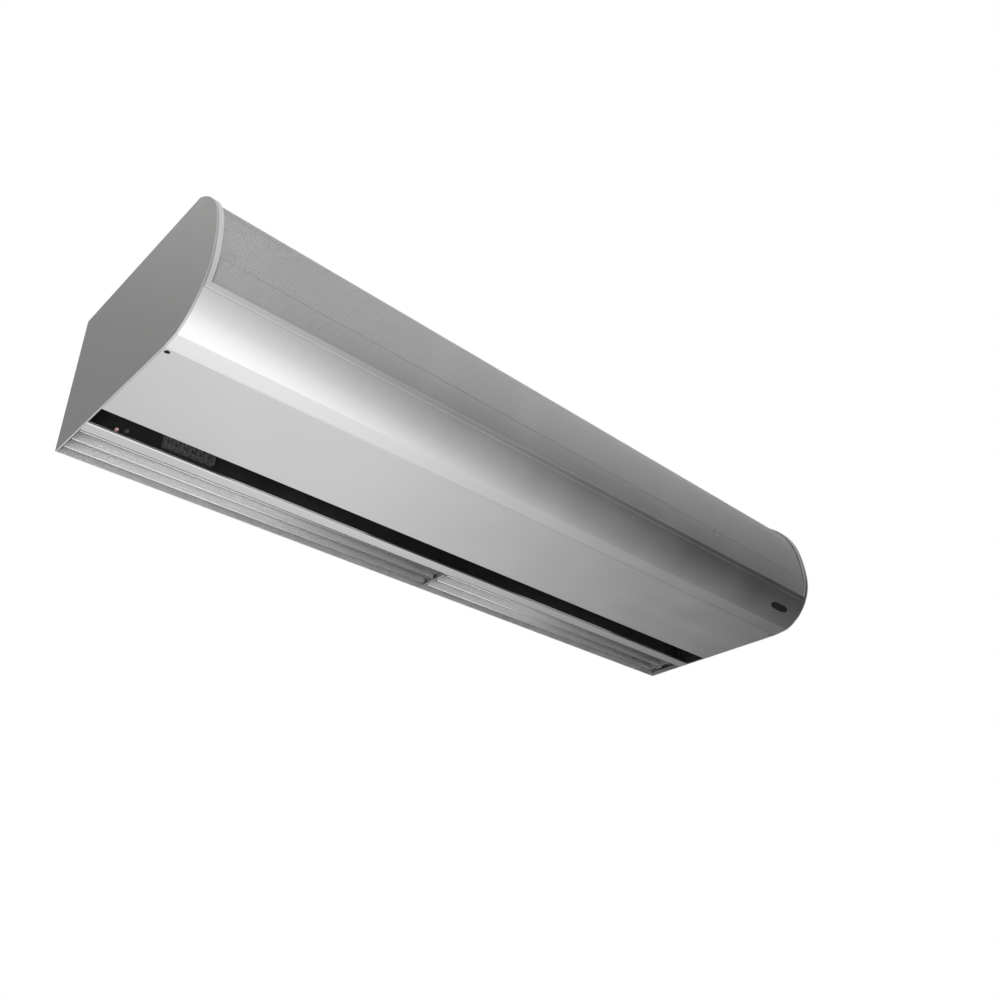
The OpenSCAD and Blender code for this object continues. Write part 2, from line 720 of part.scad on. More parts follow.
module motor_bearings() {
    color(steel) placed() motor_ends() difference() {
        translate([0, 0, motor_half]) cylinder(r = bearing_r, h = hub_l - shell_t - seat);
        translate([0, 0, motor_half - cut]) cylinder(r = shaft_r + run_gap, h = hub_l + 2 * cut);
    }
}
module motor_isolators() {
    color(rubber_black) placed() motor_ends()
        translate([0, 0, motor_half + seat]) rotate_extrude() {
            translate([hub_r, 0]) square([ring_r - cradle_t - hub_r, ring_w]);
            for (z = [0, (ring_w + cradle_t) / 2 + seat]) translate([ring_r - cradle_t - cut, z])
                square([2 * cradle_t + cut, (ring_w - cradle_t) / 2 - seat]);
        }
}
module motor_cradle() {
    arm_r = ring_r + 4 * cradle_t;
    arm_low = deck_top + cradle_lift;
    arm_h = axis_z + arm_r - arm_low;
    web_y = -back_t - seat;
    color(galvanised) placed() {
        for (x = [mid_x - cradle_half, mid_x + cradle_half - cradle_t])
            along_x(x, cradle_t) difference() {
                union() {
                    translate([axis_y, axis_z]) circle(arm_r);
                    translate([axis_y, arm_low]) square([web_y - axis_y, arm_h]);
                }
                translate([axis_y, axis_z]) circle(ring_r - cradle_t + seat);
            }
        box_at([mid_x - cradle_half, mid_x + cradle_half], [web_y - cradle_t, web_y],
            [arm_low, arm_low + arm_h]);
    }
}

// Electrics
cap_r = cap_d / 2;
cap_x = (housing_x[0] + housing_l + mid_x - cradle_half - cap_l) / 2;
cap_y = -back_t - 2 * seat - sheet - cap_r;
cap_z = unit_h - skin - back_t - flange - cap_r;
module capacitor() {
    color(galvanised) placed() along_x(cap_x, cap_l) translate([cap_y, cap_z]) circle(cap_r);
}
module capacitor_strap() {
    strap_w = cap_d / 2;
    foot = cap_r + sheet + flange;
    color(galvanised) placed() along_x(cap_x + (cap_l - strap_w) / 2, strap_w) difference() {
        union() {
            translate([cap_y, cap_z]) circle(cap_r + seat + sheet);
            translate([-back_t - seat - sheet, cap_z - foot]) square([sheet, foot]);
        }
        translate([cap_y, cap_z]) circle(cap_r + seat);
        translate([-back_t - seat, cap_z - foot]) square([cap_r, 2 * foot]);
    }
}
box_inset = 8;
box_x = [plate_t + box_inset, plate_t + box_inset + box_w];
box_y = -back_t - seat;
box_top = unit_h - insert_l - flange;
bushing_wall = 2;
entry_x = (box_x[0] + box_x[1]) / 2;
entry_z = box_top - box_h / 2;
module entry_at() { translate([entry_x, 0, entry_z]) rotate([90, 0, 0]) children(); }
module entry_hole(r) {
    entry_at() translate([0, 0, -cut]) cylinder(r = r, h = back_t + seat + sheet + 2 * cut);
}
module junction_box() {
    color(galvanised) placed() difference() {
        box_at(box_x, [box_y - box_d, box_y], [box_top - box_h, box_top]);
        box_at([box_x[0] + sheet, box_x[1] - sheet], [box_y - box_d - cut, box_y - sheet],
            [box_top - box_h + sheet, box_top - sheet]);
        entry_hole(entry_r + bushing_wall + seat);
    }
}
module junction_cover() {
    grow = sheet + seat;
    front = box_y - box_d - seat - sheet;
    color(galvanised) placed() difference() {
        box_at([box_x[0] - grow, box_x[1] + grow], [front, front + flange],
            [box_top - box_h - grow, box_top + grow]);
        box_at([box_x[0] - seat, box_x[1] + seat], [front + sheet, front + flange + cut],
            [box_top - box_h - seat, box_top + seat]);
    }
}
module cable_bushing() {
    color(rubber_black) placed() entry_at() difference() {
        union() {
            cylinder(r = entry_r + bushing_wall, h = back_t + 2 * seat + sheet + bushing_wall);
            translate([0, 0, back_t + 2 * seat + sheet])
                cylinder(r = entry_r + 2 * bushing_wall + seat, h = bushing_wall);
        }
        translate([0, 0, -cut]) cylinder(r = entry_r, h = back_t + sheet + bushing_wall + 2 * cut + 2 * seat);
    }
}

// A terminal strip on the front of the nozzle wall shows through the slot
strip_h = 20;
strip_d = 6;
fin_d = 12;
fin_t = 2;
strip_x = box_x[1] - fin_d * 2;
strip_z = (lip_t + flange + deck_z) / 2;
strip_y = -nozzle_front - sheet - seat;
way = (strip_l - fin_t) / strip_ways;
module terminal_strip() {
    color(plastic_grey) placed() {
        box_at([strip_x, strip_x + strip_l], [strip_y - strip_d, strip_y],
            [strip_z - strip_h / 2, strip_z + strip_h / 2]);
        for (i = [0 : strip_ways])
            box_at([strip_x + i * way, strip_x + i * way + fin_t], [strip_y - fin_d, strip_y],
                [strip_z - strip_h / 2, strip_z + strip_h / 2]);
    }
}
terminal_r = 2.5;
module terminal_screws() {
    color(steel) placed() for (i = [0.5 : strip_ways - 0.5], side = [-1, 1])
        translate([strip_x + i * way + fin_t / 2, strip_y - strip_d, strip_z + side * strip_h / 4])
            rotate([90, 0, 0]) cylinder(r = terminal_r, h = fin_t);
}

end_plate_left();
end_plate_right();
back_panel();
top_panel();
bottom_panel();
panel_angles();
panel_screws();
lower_front_cover();
front_rail();
grille_frame();
intake_grille();
nozzle_plenum();
nozzle_lip();
vane_comb_left();
vane_comb_middle();
vane_comb_right();
vane_rear();
vane_middle();
vane_front();
pivot_rear();
pivot_middle();
pivot_front();
crank_rear();
crank_middle();
crank_front();
vane_link();
blower_housing_left();
blower_housing_right();
inlet_rings();
blower_wheel_left();
blower_wheel_right();
hub_screws();
motor_shaft();
motor_rotor();
motor_stator();
motor_shell();
motor_end_bells();
motor_bearings();
motor_isolators();
motor_cradle();
capacitor();
capacitor_strap();
junction_box();
junction_cover();
cable_bushing();
terminal_strip();
terminal_screws();
hanging_inserts();
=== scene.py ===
# %% [markdown]
# # A wall-mounted air curtain, dressed in Blender
#
# An air curtain hangs over a doorway and blows a thin sheet of air down along
# the wall. This lesson starts from the packed CAD model, which is the fixed
# frame, and gives it rounded edges, a finely perforated front, screws and
# finishes. The CAD model holds the sizes, so nothing here may move or grow it.

# %% Load the fixed frame
import json
import math

import bmesh
import bpy
from mathutils import Matrix, Vector

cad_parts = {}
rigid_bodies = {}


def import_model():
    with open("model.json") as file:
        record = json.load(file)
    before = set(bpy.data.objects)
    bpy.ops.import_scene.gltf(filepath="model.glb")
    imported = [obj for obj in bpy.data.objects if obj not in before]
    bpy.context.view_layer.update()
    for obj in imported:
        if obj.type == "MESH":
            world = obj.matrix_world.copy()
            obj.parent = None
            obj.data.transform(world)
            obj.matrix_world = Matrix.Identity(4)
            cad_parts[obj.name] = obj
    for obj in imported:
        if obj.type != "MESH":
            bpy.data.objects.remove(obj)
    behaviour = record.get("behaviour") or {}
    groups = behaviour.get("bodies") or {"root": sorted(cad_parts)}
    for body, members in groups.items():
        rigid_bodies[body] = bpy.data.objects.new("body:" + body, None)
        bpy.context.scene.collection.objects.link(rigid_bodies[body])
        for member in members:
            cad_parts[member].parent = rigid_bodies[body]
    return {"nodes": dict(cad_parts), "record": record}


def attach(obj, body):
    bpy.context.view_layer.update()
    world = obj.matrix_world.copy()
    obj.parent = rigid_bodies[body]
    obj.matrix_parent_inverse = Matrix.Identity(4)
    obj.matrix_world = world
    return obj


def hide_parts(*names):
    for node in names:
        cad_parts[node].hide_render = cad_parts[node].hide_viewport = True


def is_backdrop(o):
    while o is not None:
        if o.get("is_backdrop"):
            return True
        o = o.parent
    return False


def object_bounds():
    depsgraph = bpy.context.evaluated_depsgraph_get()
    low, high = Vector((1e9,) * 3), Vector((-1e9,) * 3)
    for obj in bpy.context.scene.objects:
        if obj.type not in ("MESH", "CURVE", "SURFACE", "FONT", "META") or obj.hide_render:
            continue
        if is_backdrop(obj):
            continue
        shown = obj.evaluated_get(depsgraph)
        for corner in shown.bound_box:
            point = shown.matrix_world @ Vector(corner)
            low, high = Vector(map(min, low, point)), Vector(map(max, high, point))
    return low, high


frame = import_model()
cad_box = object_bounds()
print("CAD box in metres:", [tuple(round(v, 4) for v in corner) for corner in cad_box])

# %% [markdown]
# # Sizes in a maker's millimetres
#
# The drawing of the unit starts at its left end, at the wall and at the bottom.
# The frame of the model starts at the centre of the wall bolts instead. One
# helper turns drawing millimetres into metres of the model, so that every
# number below can be read off the drawing. The seams are drawn closer than in
# the CAD model, because the photograph shows them as fine lines.

# %% Sizes and places
MM = 0.001
UNIT_L, UNIT_H, UNIT_D = 1219.0, 215.0, 370.0
BOLT_Z = 120.0
# Walls of the end plates, of the covers and of the black nozzle
PLATE, SKIN, WALL = 2.5, 2.0, 1.2
# Height of the folded flanges on the covers
FLANGE = 10.0
SEAM_GAP = 0.15
# The hair of air between two parts that lie against each other
SEAT = 0.2


def place(x, y, z):
    """A point in drawing millimetres as a point of the model."""
    return Vector(((x - UNIT_L / 2) * MM, y * MM, (z - BOLT_Z) * MM))


print("left end of the unit at x =", round(place(0, 0, 0).x, 4))

# %% [markdown]
# # The camera
#
# The photograph looks up at the unit from below its left end. Lens and place
# come from fitting the corners of the unit to the photograph, and are typed in
# as one position and three angles.

# %% Camera
CAMERA_AT = place(-331.19, -1150.69, -701.383)
YAW, TILT, ROLL = (math.radians(a) for a in (-44.3813, 30.43, -0.8612))
SENSOR_W, LENS_SHARE = 36, 0.98883
NEAREST, FARTHEST = 0.01, 100


def in_scene(name, data):
    """A new object that shows the data, linked to the scene."""
    added = bpy.data.objects.new(name, data)
    bpy.context.scene.collection.objects.link(added)
    return added


ahead = Vector((-math.sin(YAW) * math.cos(TILT), math.cos(YAW) * math.cos(TILT), math.sin(TILT)))
level = Vector((math.cos(YAW), math.sin(YAW), 0))
above = level.cross(ahead)
right = math.cos(ROLL) * level + math.sin(ROLL) * above
up = math.cos(ROLL) * above - math.sin(ROLL) * level

camera_data = bpy.data.cameras.new("camera")
camera_data.sensor_width = SENSOR_W
camera_data.lens = LENS_SHARE * SENSOR_W
camera_data.clip_start, camera_data.clip_end = NEAREST, FARTHEST
camera = in_scene("camera", camera_data)
camera.matrix_world = Matrix((right, up, -ahead)).transposed().to_4x4()
camera.location = CAMERA_AT
bpy.context.scene.camera = camera
bpy.context.scene.view_settings.view_transform = "Standard"
print("lens", round(camera_data.lens, 2), "mm")

# %% [markdown]
# # Node trees written as sums
#
# A shader is a tree of nodes, and its maths reads best as a formula. The small
# class below wraps a socket and adds a Math node for each sign in a formula.
# Its tree adds every other node through one method. Shaders and Geometry Nodes
# share both.

# %% Sockets and trees


class Value:
    """A socket that can stand in a formula."""

    def __init__(self, tree, socket):
        self.tree, self.socket = tree, socket

    def math(self, operation, first, second):
        return self.tree.node("ShaderNodeMath", {"operation": operation}, {0: first, 1: second})[0]

    def __add__(self, other):
        return self.math("ADD", self, other)

    def __radd__(self, other):
        return self.math("ADD", other, self)

    def __sub__(self, other):
        return self.math("SUBTRACT", self, other)

    def __rsub__(self, other):
        return self.math("SUBTRACT", other, self)

    def __mul__(self, other):
        return self.math("MULTIPLY", self, other)

    def __rmul__(self, other):
        return self.math("MULTIPLY", other, self)

    def __truediv__(self, other):
        return self.math("DIVIDE", self, other)

    def __rtruediv__(self, other):
        return self.math("DIVIDE", other, self)

    def __lt__(self, other):
        return self.math("LESS_THAN", self, other)

    def __gt__(self, other):
        return self.math("GREATER_THAN", self, other)


class Made:
    """A new node, and what it gives out by name or by number."""

    def __init__(self, tree, node):
        self.tree, self.node = tree, node

    def __getitem__(self, key):
        return Value(self.tree, self.node.outputs[key])


class Tree:
    """A node tree, emptied, that adds every node through one method."""

    def __init__(self, node_tree):
        self.tree = node_tree
        self.tree.nodes.clear()

    def node(self, kind, settings=None, inputs=None):
        added = self.tree.nodes.new(kind)
        for name, value in (settings or {}).items():
            setattr(added, name, value)
        for key, value in (inputs or {}).items():
            self.feed(added.inputs[key], value)
        return Made(self, added)

    def feed(self, socket, value):
        if isinstance(value, Value):
            self.tree.links.new(value.socket, socket)
        else:
            socket.default_value = value


print("signs that add a Math node: + - * / < >")

# %% [markdown]
# # Patterns that the finishes share
#
# Every finish here is real metal, paint or plastic with some unevenness. All
# patterns read Object coordinates, which are metres of the model because each
# piece sits at the origin. Stretched noise makes drawing lines and plain noise
# makes mottling.

# %% Patterns


class Finish(Tree):
    """A material with one Principled shader and helpers for patterns on it."""

    def __init__(self, name, metallic=0.0, **fixed):
        self.material = bpy.data.materials.new(name)
        self.material.use_nodes = True
        super().__init__(self.material.node_tree)
        self.shader = self.node("ShaderNodeBsdfPrincipled", {}, {"Metallic": metallic, **fixed})
        self.output = self.node("ShaderNodeOutputMaterial", {}, {"Surface": self.shader["BSDF"]})
        self.object = self.node("ShaderNodeTexCoord")["Object"]

    def stretched(self, x, y, z):
        return self.node("ShaderNodeMapping", {}, {"Vector": self.object, "Scale": (x, y, z)})["Vector"]

    def noise(self, scale, detail=2.0, rough=0.5, at=None):
        inputs = {"Vector": at or self.object, "Scale": scale, "Detail": detail, "Roughness": rough}
        return self.node("ShaderNodeTexNoise", {}, inputs)["Fac"]

    def spread(self, value, low, high, dark=0.3, light=0.7):
        """The value's usual range, from dark to light, spread from low to high."""
        inputs = {"Value": value, 1: dark, 2: light, 3: low, 4: high}
        return self.node("ShaderNodeMapRange", {"clamp": True}, inputs)["Result"]

    def between(self, factor, colour_a, colour_b):
        inputs = {0: factor, 6: colour_a, 7: colour_b}
        return self.node("ShaderNodeMix", {"data_type": "RGBA"}, inputs)[2]

    def bump(self, height, distance, strength=1.0):
        inputs = {"Height": height, "Distance": distance, "Strength": strength}
        return self.node("ShaderNodeBump", {}, inputs)["Normal"]

    def set(self, **values):
        for name, value in values.items():
            self.feed(self.shader.node.inputs[name.replace("_", " ")], value)
        return self.material


def grey(level, warm=0.0):
    return (level * (1 + warm), level, level * (1 - warm), 1)


print("helpers of a finish:", ", ".join(name for name in vars(Finish) if name[0] != "_"))

# %% [markdown]
# # Anodised aluminium
#
# Covers, grille, end plates and vanes are satin anodised aluminium. Sheet and
# extrusions come out of the mill with fine lines along their length, the acid
# bath leaves a soft cloudiness, and wiping leaves long faint marks. The lines
# bend the normal a little, clouds and wiping change the roughness, and lines
# and clouds change the colour slightly.

# %% Anodised finishes
# How many marks of each pattern fit in a metre along X, Y and Z
MILL_LINES, FINE_LINES, WIPED_MARKS = (3, 1500, 1500), (12, 5200, 5200), (2, 30, 30)
CLOUDS = 9
CLOUD_ROUGH, WIPED_ROUGH = 0.014, 0.012
LINE_DEPTH = 0.00003


def anodised(name, level, rough, lines=1.0, warm=0.0, metallic=1.0):
    made = Finish(name, metallic=metallic)
    drawn = made.noise(1.0, 3.0, 0.6, made.stretched(*MILL_LINES))
    fine = made.noise(1.0, 2.0, 0.5, made.stretched(*FINE_LINES))
    clouds = made.noise(CLOUDS, 3.0)
    wiped = made.noise(1.0, 2.0, 0.5, made.stretched(*WIPED_MARKS))
    tone = made.spread(drawn, 0, 0.55) + made.spread(clouds, 0, 0.45)
    dark, light = (grey(level * share, warm) for share in (1 - 0.05 * lines, 1 + 0.02 * lines))
    colour = made.between(tone, dark, light)
    cloudy = made.spread(clouds, rough - CLOUD_ROUGH, rough + CLOUD_ROUGH)
    roughness = cloudy + made.spread(wiped, -WIPED_ROUGH, WIPED_ROUGH)
    height = drawn * 0.7 + fine * 0.3
    normal = made.bump(height, LINE_DEPTH * lines, 0.5)
    return made.set(Base_Color=colour, Roughness=roughness, Normal=normal)


COVER = anodised("satin_cover", 0.80, 0.32)
# The end plates are the covers' aluminium set darker: that darker grey is painted shade.
END = anodised("plain_end_plate", 0.71, 0.5, lines=0.4, warm=0.012)
GRILLE = anodised("satin_grille", 0.64, 0.46, lines=0.6, metallic=0.82)
# The vanes are the covers' aluminium set lighter: that lighter grey is painted light from below.
VANE = anodised("satin_vane", 0.9, 0.27, lines=0.8, metallic=0.72)
print("anodised finishes:", COVER.name, END.name, GRILLE.name, VANE.name)

# %% [markdown]
# # Galvanised sheet
#
# The back panel, the blower housings and wheels, the brackets and the junction
# box are hot-dip galvanised steel. Its zinc crystals, the spangle, are patches
# about a centimetre wide that each reflect differently. A Voronoi pattern gives
# the patches, a little noise bends their borders, and more noise gives the dull
# bloom on top.

# %% Galvanised finish
CRYSTALS, BLOOM = 110.0, 14
BORDER_NOISE, BORDER_BEND = 60.0, 0.006
CRYSTAL_DEPTH = 0.00004


def galvanised():
    made = Finish("galvanised_sheet", metallic=0.75)
    stir = made.node("ShaderNodeTexNoise", {}, {"Vector": made.object, "Scale": BORDER_NOISE})["Color"]
    bend = {0: stir, 1: (BORDER_BEND, BORDER_BEND, BORDER_BEND), 2: made.object}
    bent = made.node("ShaderNodeVectorMath", {"operation": "MULTIPLY_ADD"}, bend)["Vector"]
    crystals = made.node("ShaderNodeTexVoronoi", {}, {"Vector": bent, "Scale": CRYSTALS})
    patch = made.node("ShaderNodeSeparateColor", {}, {"Color": crystals["Color"]})["Red"]
    bloom = made.noise(BLOOM, 4.0)
    tone = patch * 0.6 + made.spread(bloom, 0, 0.4)
    colour = made.between(tone, (0.76, 0.77, 0.78, 1), (0.88, 0.885, 0.89, 1))
    roughness = made.spread(patch, 0.38, 0.5, 0, 1) + made.spread(bloom, -0.03, 0.05)
    return made.set(Base_Color=colour, Roughness=roughness, Normal=made.bump(patch, CRYSTAL_DEPTH, 0.3))


GALVANISED = galvanised()
print("galvanised finish:", GALVANISED.name)

# %% [markdown]
# # Paint, plated steel, rubber and plastic
#
# The nozzle is sprayed matt black inside, set darker than black paint usually
# is, so that it also stands for the deep shade in the slot in front of it: black
# paint and painted shade in one. Sprayed paint has a fine orange peel. Combs,
# pins and cranks are zinc plated steel with a faint brushed grain. Rubber and
# moulded plastic have a dull, finely grained skin. The threaded inserts get
# their turns from a wave along Z, because a real thread would take many
# thousands of faces.

# %% The other finishes
# How many marks of each pattern fit in a metre
PEEL, DUST, STAINS, GRAIN, HANDLING = 900, 18, 70, 1400, 30
BRUSHED = (2400, 500, 500)
THREAD_WAVE, THREAD_DEPTH = 105.0, 0.0004
PEEL_DEPTH, BRUSHED_DEPTH, GRAIN_DEPTH = 0.00006, 0.00002, 0.00005


def sprayed(name, level, rough, dust):
    made = Finish(name)
    peel = made.noise(PEEL, 2.0)
    settled = made.noise(DUST, 5.0, 0.6)
    colour = made.between(made.spread(settled, 0, dust), grey(level), grey(0.22, 0.03))
    roughness = made.spread(settled, rough - 0.05, rough + 0.08)
    return made.set(Base_Color=colour, Roughness=roughness, Normal=made.bump(peel, PEEL_DEPTH, 0.4))


def plated(name, level, rough, bright=0.12):
    made = Finish(name, metallic=1.0)
    grain = made.noise(1.0, 3.0, 0.6, made.stretched(*BRUSHED))
    stain = made.noise(STAINS, 3.0)
    colour = made.between(made.spread(stain, 0, 1), grey(level), grey(level * (1 + bright), 0.015))
    roughness = made.spread(stain, rough - 0.06, rough + 0.07)
    return made.set(Base_Color=colour, Roughness=roughness, Normal=made.bump(grain, BRUSHED_DEPTH, 0.5))


def moulded(name, level, rough, tint=(1, 1, 1)):
    made = Finish(name)
    grain = made.noise(GRAIN, 2.0)
    handled = made.noise(HANDLING, 3.0)
    worn, clean = ((*(level * share * part for part in tint), 1) for share in (0.88, 1.1))
    colour = made.between(made.spread(handled, 0, 1), worn, clean)
    roughness = made.spread(handled, rough - 0.06, rough + 0.06)
    return made.set(Base_Color=colour, Roughness=roughness, Normal=made.bump(grain, GRAIN_DEPTH, 0.4))


def threaded():
    made = Finish("threaded_steel", metallic=1.0)
    wave = {"Vector": made.object, "Scale": THREAD_WAVE}
    turns = made.node("ShaderNodeTexWave", {"bands_direction": "Z"}, wave)["Fac"]
    stain = made.noise(STAINS, 3.0)
    colour = made.between(made.spread(stain, 0, 1), grey(0.5), grey(0.58, 0.015))
    roughness = made.spread(stain, 0.3, 0.42)
    return made.set(Base_Color=colour, Roughness=roughness, Normal=made.bump(turns, THREAD_DEPTH))


# The nozzle's near black is black paint and painted shade of the slot in one.
BLACK_PAINT_AND_SHADE = sprayed("sprayed_black", 0.01, 0.62, 0.05)
MOTOR_PAINT = sprayed("motor_enamel", 0.08, 0.42, 0.1)
STEEL = plated("zinc_steel", 0.5, 0.34)
BLACKENED = plated("blackened_steel", 0.045, 0.42, 0.5)
THREADED = threaded()
RUBBER = moulded("black_rubber", 0.045, 0.75)
GREY_PLASTIC = moulded("moulded_grey", 0.08, 0.5)
RED_PLASTIC = moulded("faded_red", 0.75, 0.4, (1.0, 0.62, 0.66))
print("materials in the file:", len(bpy.data.materials))

# %% [markdown]
# # Give every CAD node its finish
#
# The record says which material slot each node takes. One table turns a slot
# into a finish, and only the threaded inserts get one of their own. Nodes that
# get a better shape below are hidden later, but they take a finish too, so that
# nothing is ever left plain.

# %% Finishes on the CAD nodes
SLOT_FINISH = {
    "anodised_cover": COVER,
    "anodised_end": END,
    "anodised_vane": VANE,
    "galvanised": GALVANISED,
    "black_sheet": BLACK_PAINT_AND_SHADE,
    "steel": STEEL,
    "blackened_screw": BLACKENED,
    "rubber": RUBBER,
    "grey_plastic": GREY_PLASTIC,
    "motor_paint": MOTOR_PAINT,
}
NODE_SLOT = {part["node"]: part["material_slot"] for part in frame["record"]["subparts"]}


def give(piece, finish):
    piece.data.materials.clear()
    piece.data.materials.append(finish)
    return piece


for node_name, node in frame["nodes"].items():
    give(node, SLOT_FINISH[NODE_SLOT[node_name]])
give(frame["nodes"]["hanging_inserts"], THREADED)
print("CAD nodes with a finish:", len(frame["nodes"]))

# %% [markdown]
# # The curve of the front
#
# Seen from the end, the front is one smooth line of three arcs: a lower one
# from the facet to the nose, a flat one just above the nose, and a tighter one
# up to the top. Because they run into each other without a kink, one angle is
# enough to name a point on them. It falls from the facet to the top.

# %% The front's arcs
# The nose: its height, the radius of the flat arc above it, and how far each upper arc turns
NOSE_Z, NOSE_R, NOSE_TURN, UPPER_TURN = 88.0, 240.0, 13.0, 49.8
# The facet runs along the bottom panel's front edge
FACET_Y, FACET_Z, PANEL_Y = -312.0, 3.0, -288.0
# Heights of the seam and of the window's lower edge, and the frame's width above the window
SEAM_Z, WINDOW_Z, FRAME_TOP = 42.5, 50.0, 10.0


def polar(radius, degrees):
    return radius * math.cos(math.radians(degrees)), radius * math.sin(math.radians(degrees))


nose_y = -UNIT_D
rise = NOSE_Z - FACET_Z
LOWER_R = ((FACET_Y - nose_y) ** 2 + rise**2) / (2 * (FACET_Y - nose_y))
LOWER_C = (nose_y + LOWER_R, NOSE_Z)
NOSE_C = (nose_y + NOSE_R, NOSE_Z)
BREAK_A = 180 - NOSE_TURN
TOP_A = BREAK_A - UPPER_TURN
break_z = NOSE_Z + polar(NOSE_R, BREAK_A)[1]
UPPER_R = (UNIT_H - break_z) / (polar(1, TOP_A)[1] - polar(1, BREAK_A)[1])
UPPER_C = tuple(n + p - q for n, p, q in zip(NOSE_C, polar(NOSE_R, BREAK_A), polar(UPPER_R, BREAK_A)))
FACET_A = 360 + math.degrees(math.atan2(FACET_Z - LOWER_C[1], FACET_Y - LOWER_C[0]))


def front_at(angle, depth=0.0):
    """The point (y, z) of the front at an angle, at a depth behind its face."""
    if angle >= 180:
        centre, radius = LOWER_C, LOWER_R
    elif angle >= BREAK_A:
        centre, radius = NOSE_C, NOSE_R
    else:
        centre, radius = UPPER_C, UPPER_R
    out = polar(radius - depth, angle)
    return centre[0] + out[0], centre[1] + out[1]


def front_run(high, low, depth=0.0, step=1.0):
    """Points from one angle to another, with one at each change of radius."""
    stops = [high] + [a for a in (180.0, BREAK_A) if low < a < high] + [low]
    angles = [high]
    for a, b in zip(stops, stops[1:]):
        n = max(1, math.ceil((a - b) / step))
        angles += [a + (b - a) * i / n for i in range(1, n + 1)]
    return [front_at(a, depth) for a in angles]


def low_angle(z):
    """The angle of a height on the lower arc."""
    return 180 + math.degrees(math.asin((NOSE_Z - z) / LOWER_R))


def turn(length, radius):
    """The angle that a length takes up on an arc."""
    return math.degrees(length / radius)


SEAM_A = low_angle(SEAM_Z)
WINDOW_A = low_angle(WINDOW_Z)
WINDOW_TOP_A = TOP_A + turn(FRAME_TOP, UPPER_R)
print("radii:", round(LOWER_R, 2), NOSE_R, round(UPPER_R, 2), "top at y", round(front_at(TOP_A)[0], 2))

# %% [markdown]
# # Soft corners on an outline
#
# Covers, lips and vanes are bent sheet or extrusions, so each is one outline
# run along the unit. Real bends are never knife sharp: corners of an outline
# are rounded before it is run along X. That small radius is what catches a
# bright line of light in the photograph.

# %% Rounded outlines
# A corner takes up no more than this share of the sides beside it
SIDE_SHARE = 0.45
# How far beyond a rounded corner one more point holds the flat
HOLD = 0.2
# Steps round a corner of a cover, which shows more than most
FOLD_STEPS = 5


def rounded(outline, steps=4):
    """Closed outline of (y, z) or (y, z, radius), with its corners rounded.

    A point just beyond each end of a corner keeps the flat beside it evenly lit.
    """
    points = []
    count = len(outline)
    for i, corner in enumerate(outline):
        here = Vector(corner[:2])
        radius = corner[2] if len(corner) > 2 else 0
        if not radius:
            points.append(tuple(here))
            continue
        back = Vector(outline[i - 1][:2]) - here
        on = Vector(outline[(i + 1) % count][:2]) - here
        half = back.angle(on) / 2
        reach = min(radius / math.tan(half), SIDE_SHARE * back.length, SIDE_SHARE * on.length)
        a, b = here + back.normalized() * reach, here + on.normalized() * reach
        if back.length > 2 * (reach + HOLD):
            points.append(tuple(a + back.normalized() * HOLD))
        for s in range(steps + 1):
            t = s / steps
            points.append(tuple(a * (1 - t) ** 2 + 2 * here * t * (1 - t) + b * t**2))
        if on.length > 2 * (reach + HOLD):
            points.append(tuple(b + on.normalized() * HOLD))
    return points


sample = rounded([(0, 0, 1), (0, 10, 1), (10, 10, 1), (10, 0, 1)])
print("a square with round corners has", len(sample), "points")

# %% [markdown]
# # From an outline to a piece
#
# An outline becomes a solid when it is repeated at stations along the unit and
# the rings are joined with faces. The mesh is built at its real place, because
# a finished piece must sit at the origin. Then it rides on the body that
# carries it and hides the CAD nodes that it stands for.

# %% Runs and pieces
# Edges that bend more than this many degrees stay sharp in the shading
SHARP = 32
# A bevel softens the edges that bend more than this
BEVEL_FROM = 40
BETWEEN_PLATES = [(PLATE, 0), (UNIT_L - PLATE, 0)]


def smooth(mesh, sharp=SHARP):
    mesh.shade_smooth()
    mesh.set_sharp_from_angle(angle=math.radians(sharp))


def finish_mesh(name, bm, finish, sharp=SHARP):
    """Turns the faces outwards, shades them smooth up to an angle and links the piece."""
    bmesh.ops.remove_doubles(bm, verts=bm.verts, dist=1e-6)
    bmesh.ops.recalc_face_normals(bm, faces=bm.faces)
    mesh = bpy.data.meshes.new(name)
    bm.to_mesh(mesh)
    bm.free()
    smooth(mesh, sharp)
    return give(in_scene(name, mesh), finish)


def close_shell(bm, rings):
    """Joins each ring of points to the next with faces, and closes both ends."""
    for a, b in zip(rings, rings[1:]):
        for i in range(len(a)):
            j = (i + 1) % len(a)
            bm.faces.new((a[i], a[j], b[j], b[i]))
    bm.faces.new(rings[0])
    bm.faces.new(list(reversed(rings[-1])))


def add_run(bm, outline, stations):
    """Adds one closed run of an outline to bm. Stations are (x, inset) pairs."""
    middle = Vector((sum(p[0] for p in outline), sum(p[1] for p in outline))) / len(outline)
    rings = []
    for x, shrink in stations:
        ring = []
        for p in outline:
            pull = (middle - Vector(p)).normalized() * shrink
            ring.append(bm.verts.new(place(x, p[0] + pull[0], p[1] + pull[1])))
        rings.append(ring)
    close_shell(bm, rings)


def run_piece(name, outline, stations, finish):
    bm = bmesh.new()
    add_run(bm, outline, stations)
    return finish_mesh(name, bm, finish)


def soft_ends(x0, x1, edge):
    """Stations of a run whose outline is drawn in a little at both ends."""
    return [(x0, edge), (x0 + edge, 0), (x1 - edge, 0), (x1, edge)]


def settle(piece, body, slot, *nodes):
    """Rides a finished piece on its body and hides the CAD nodes it stands for."""
    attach(piece, body)
    if nodes:
        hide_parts(*nodes)


def bevelled(piece, width, segments=3):
    bevel = piece.modifiers.new("soft edges", "BEVEL")
    bevel.width, bevel.segments = width * MM, segments
    bevel.limit_method, bevel.angle_limit = "ANGLE", math.radians(BEVEL_FROM)
    bevel.harden_normals = True
    return piece


print("runs between the end plates start at", PLATE, "and end at", UNIT_L - PLATE)
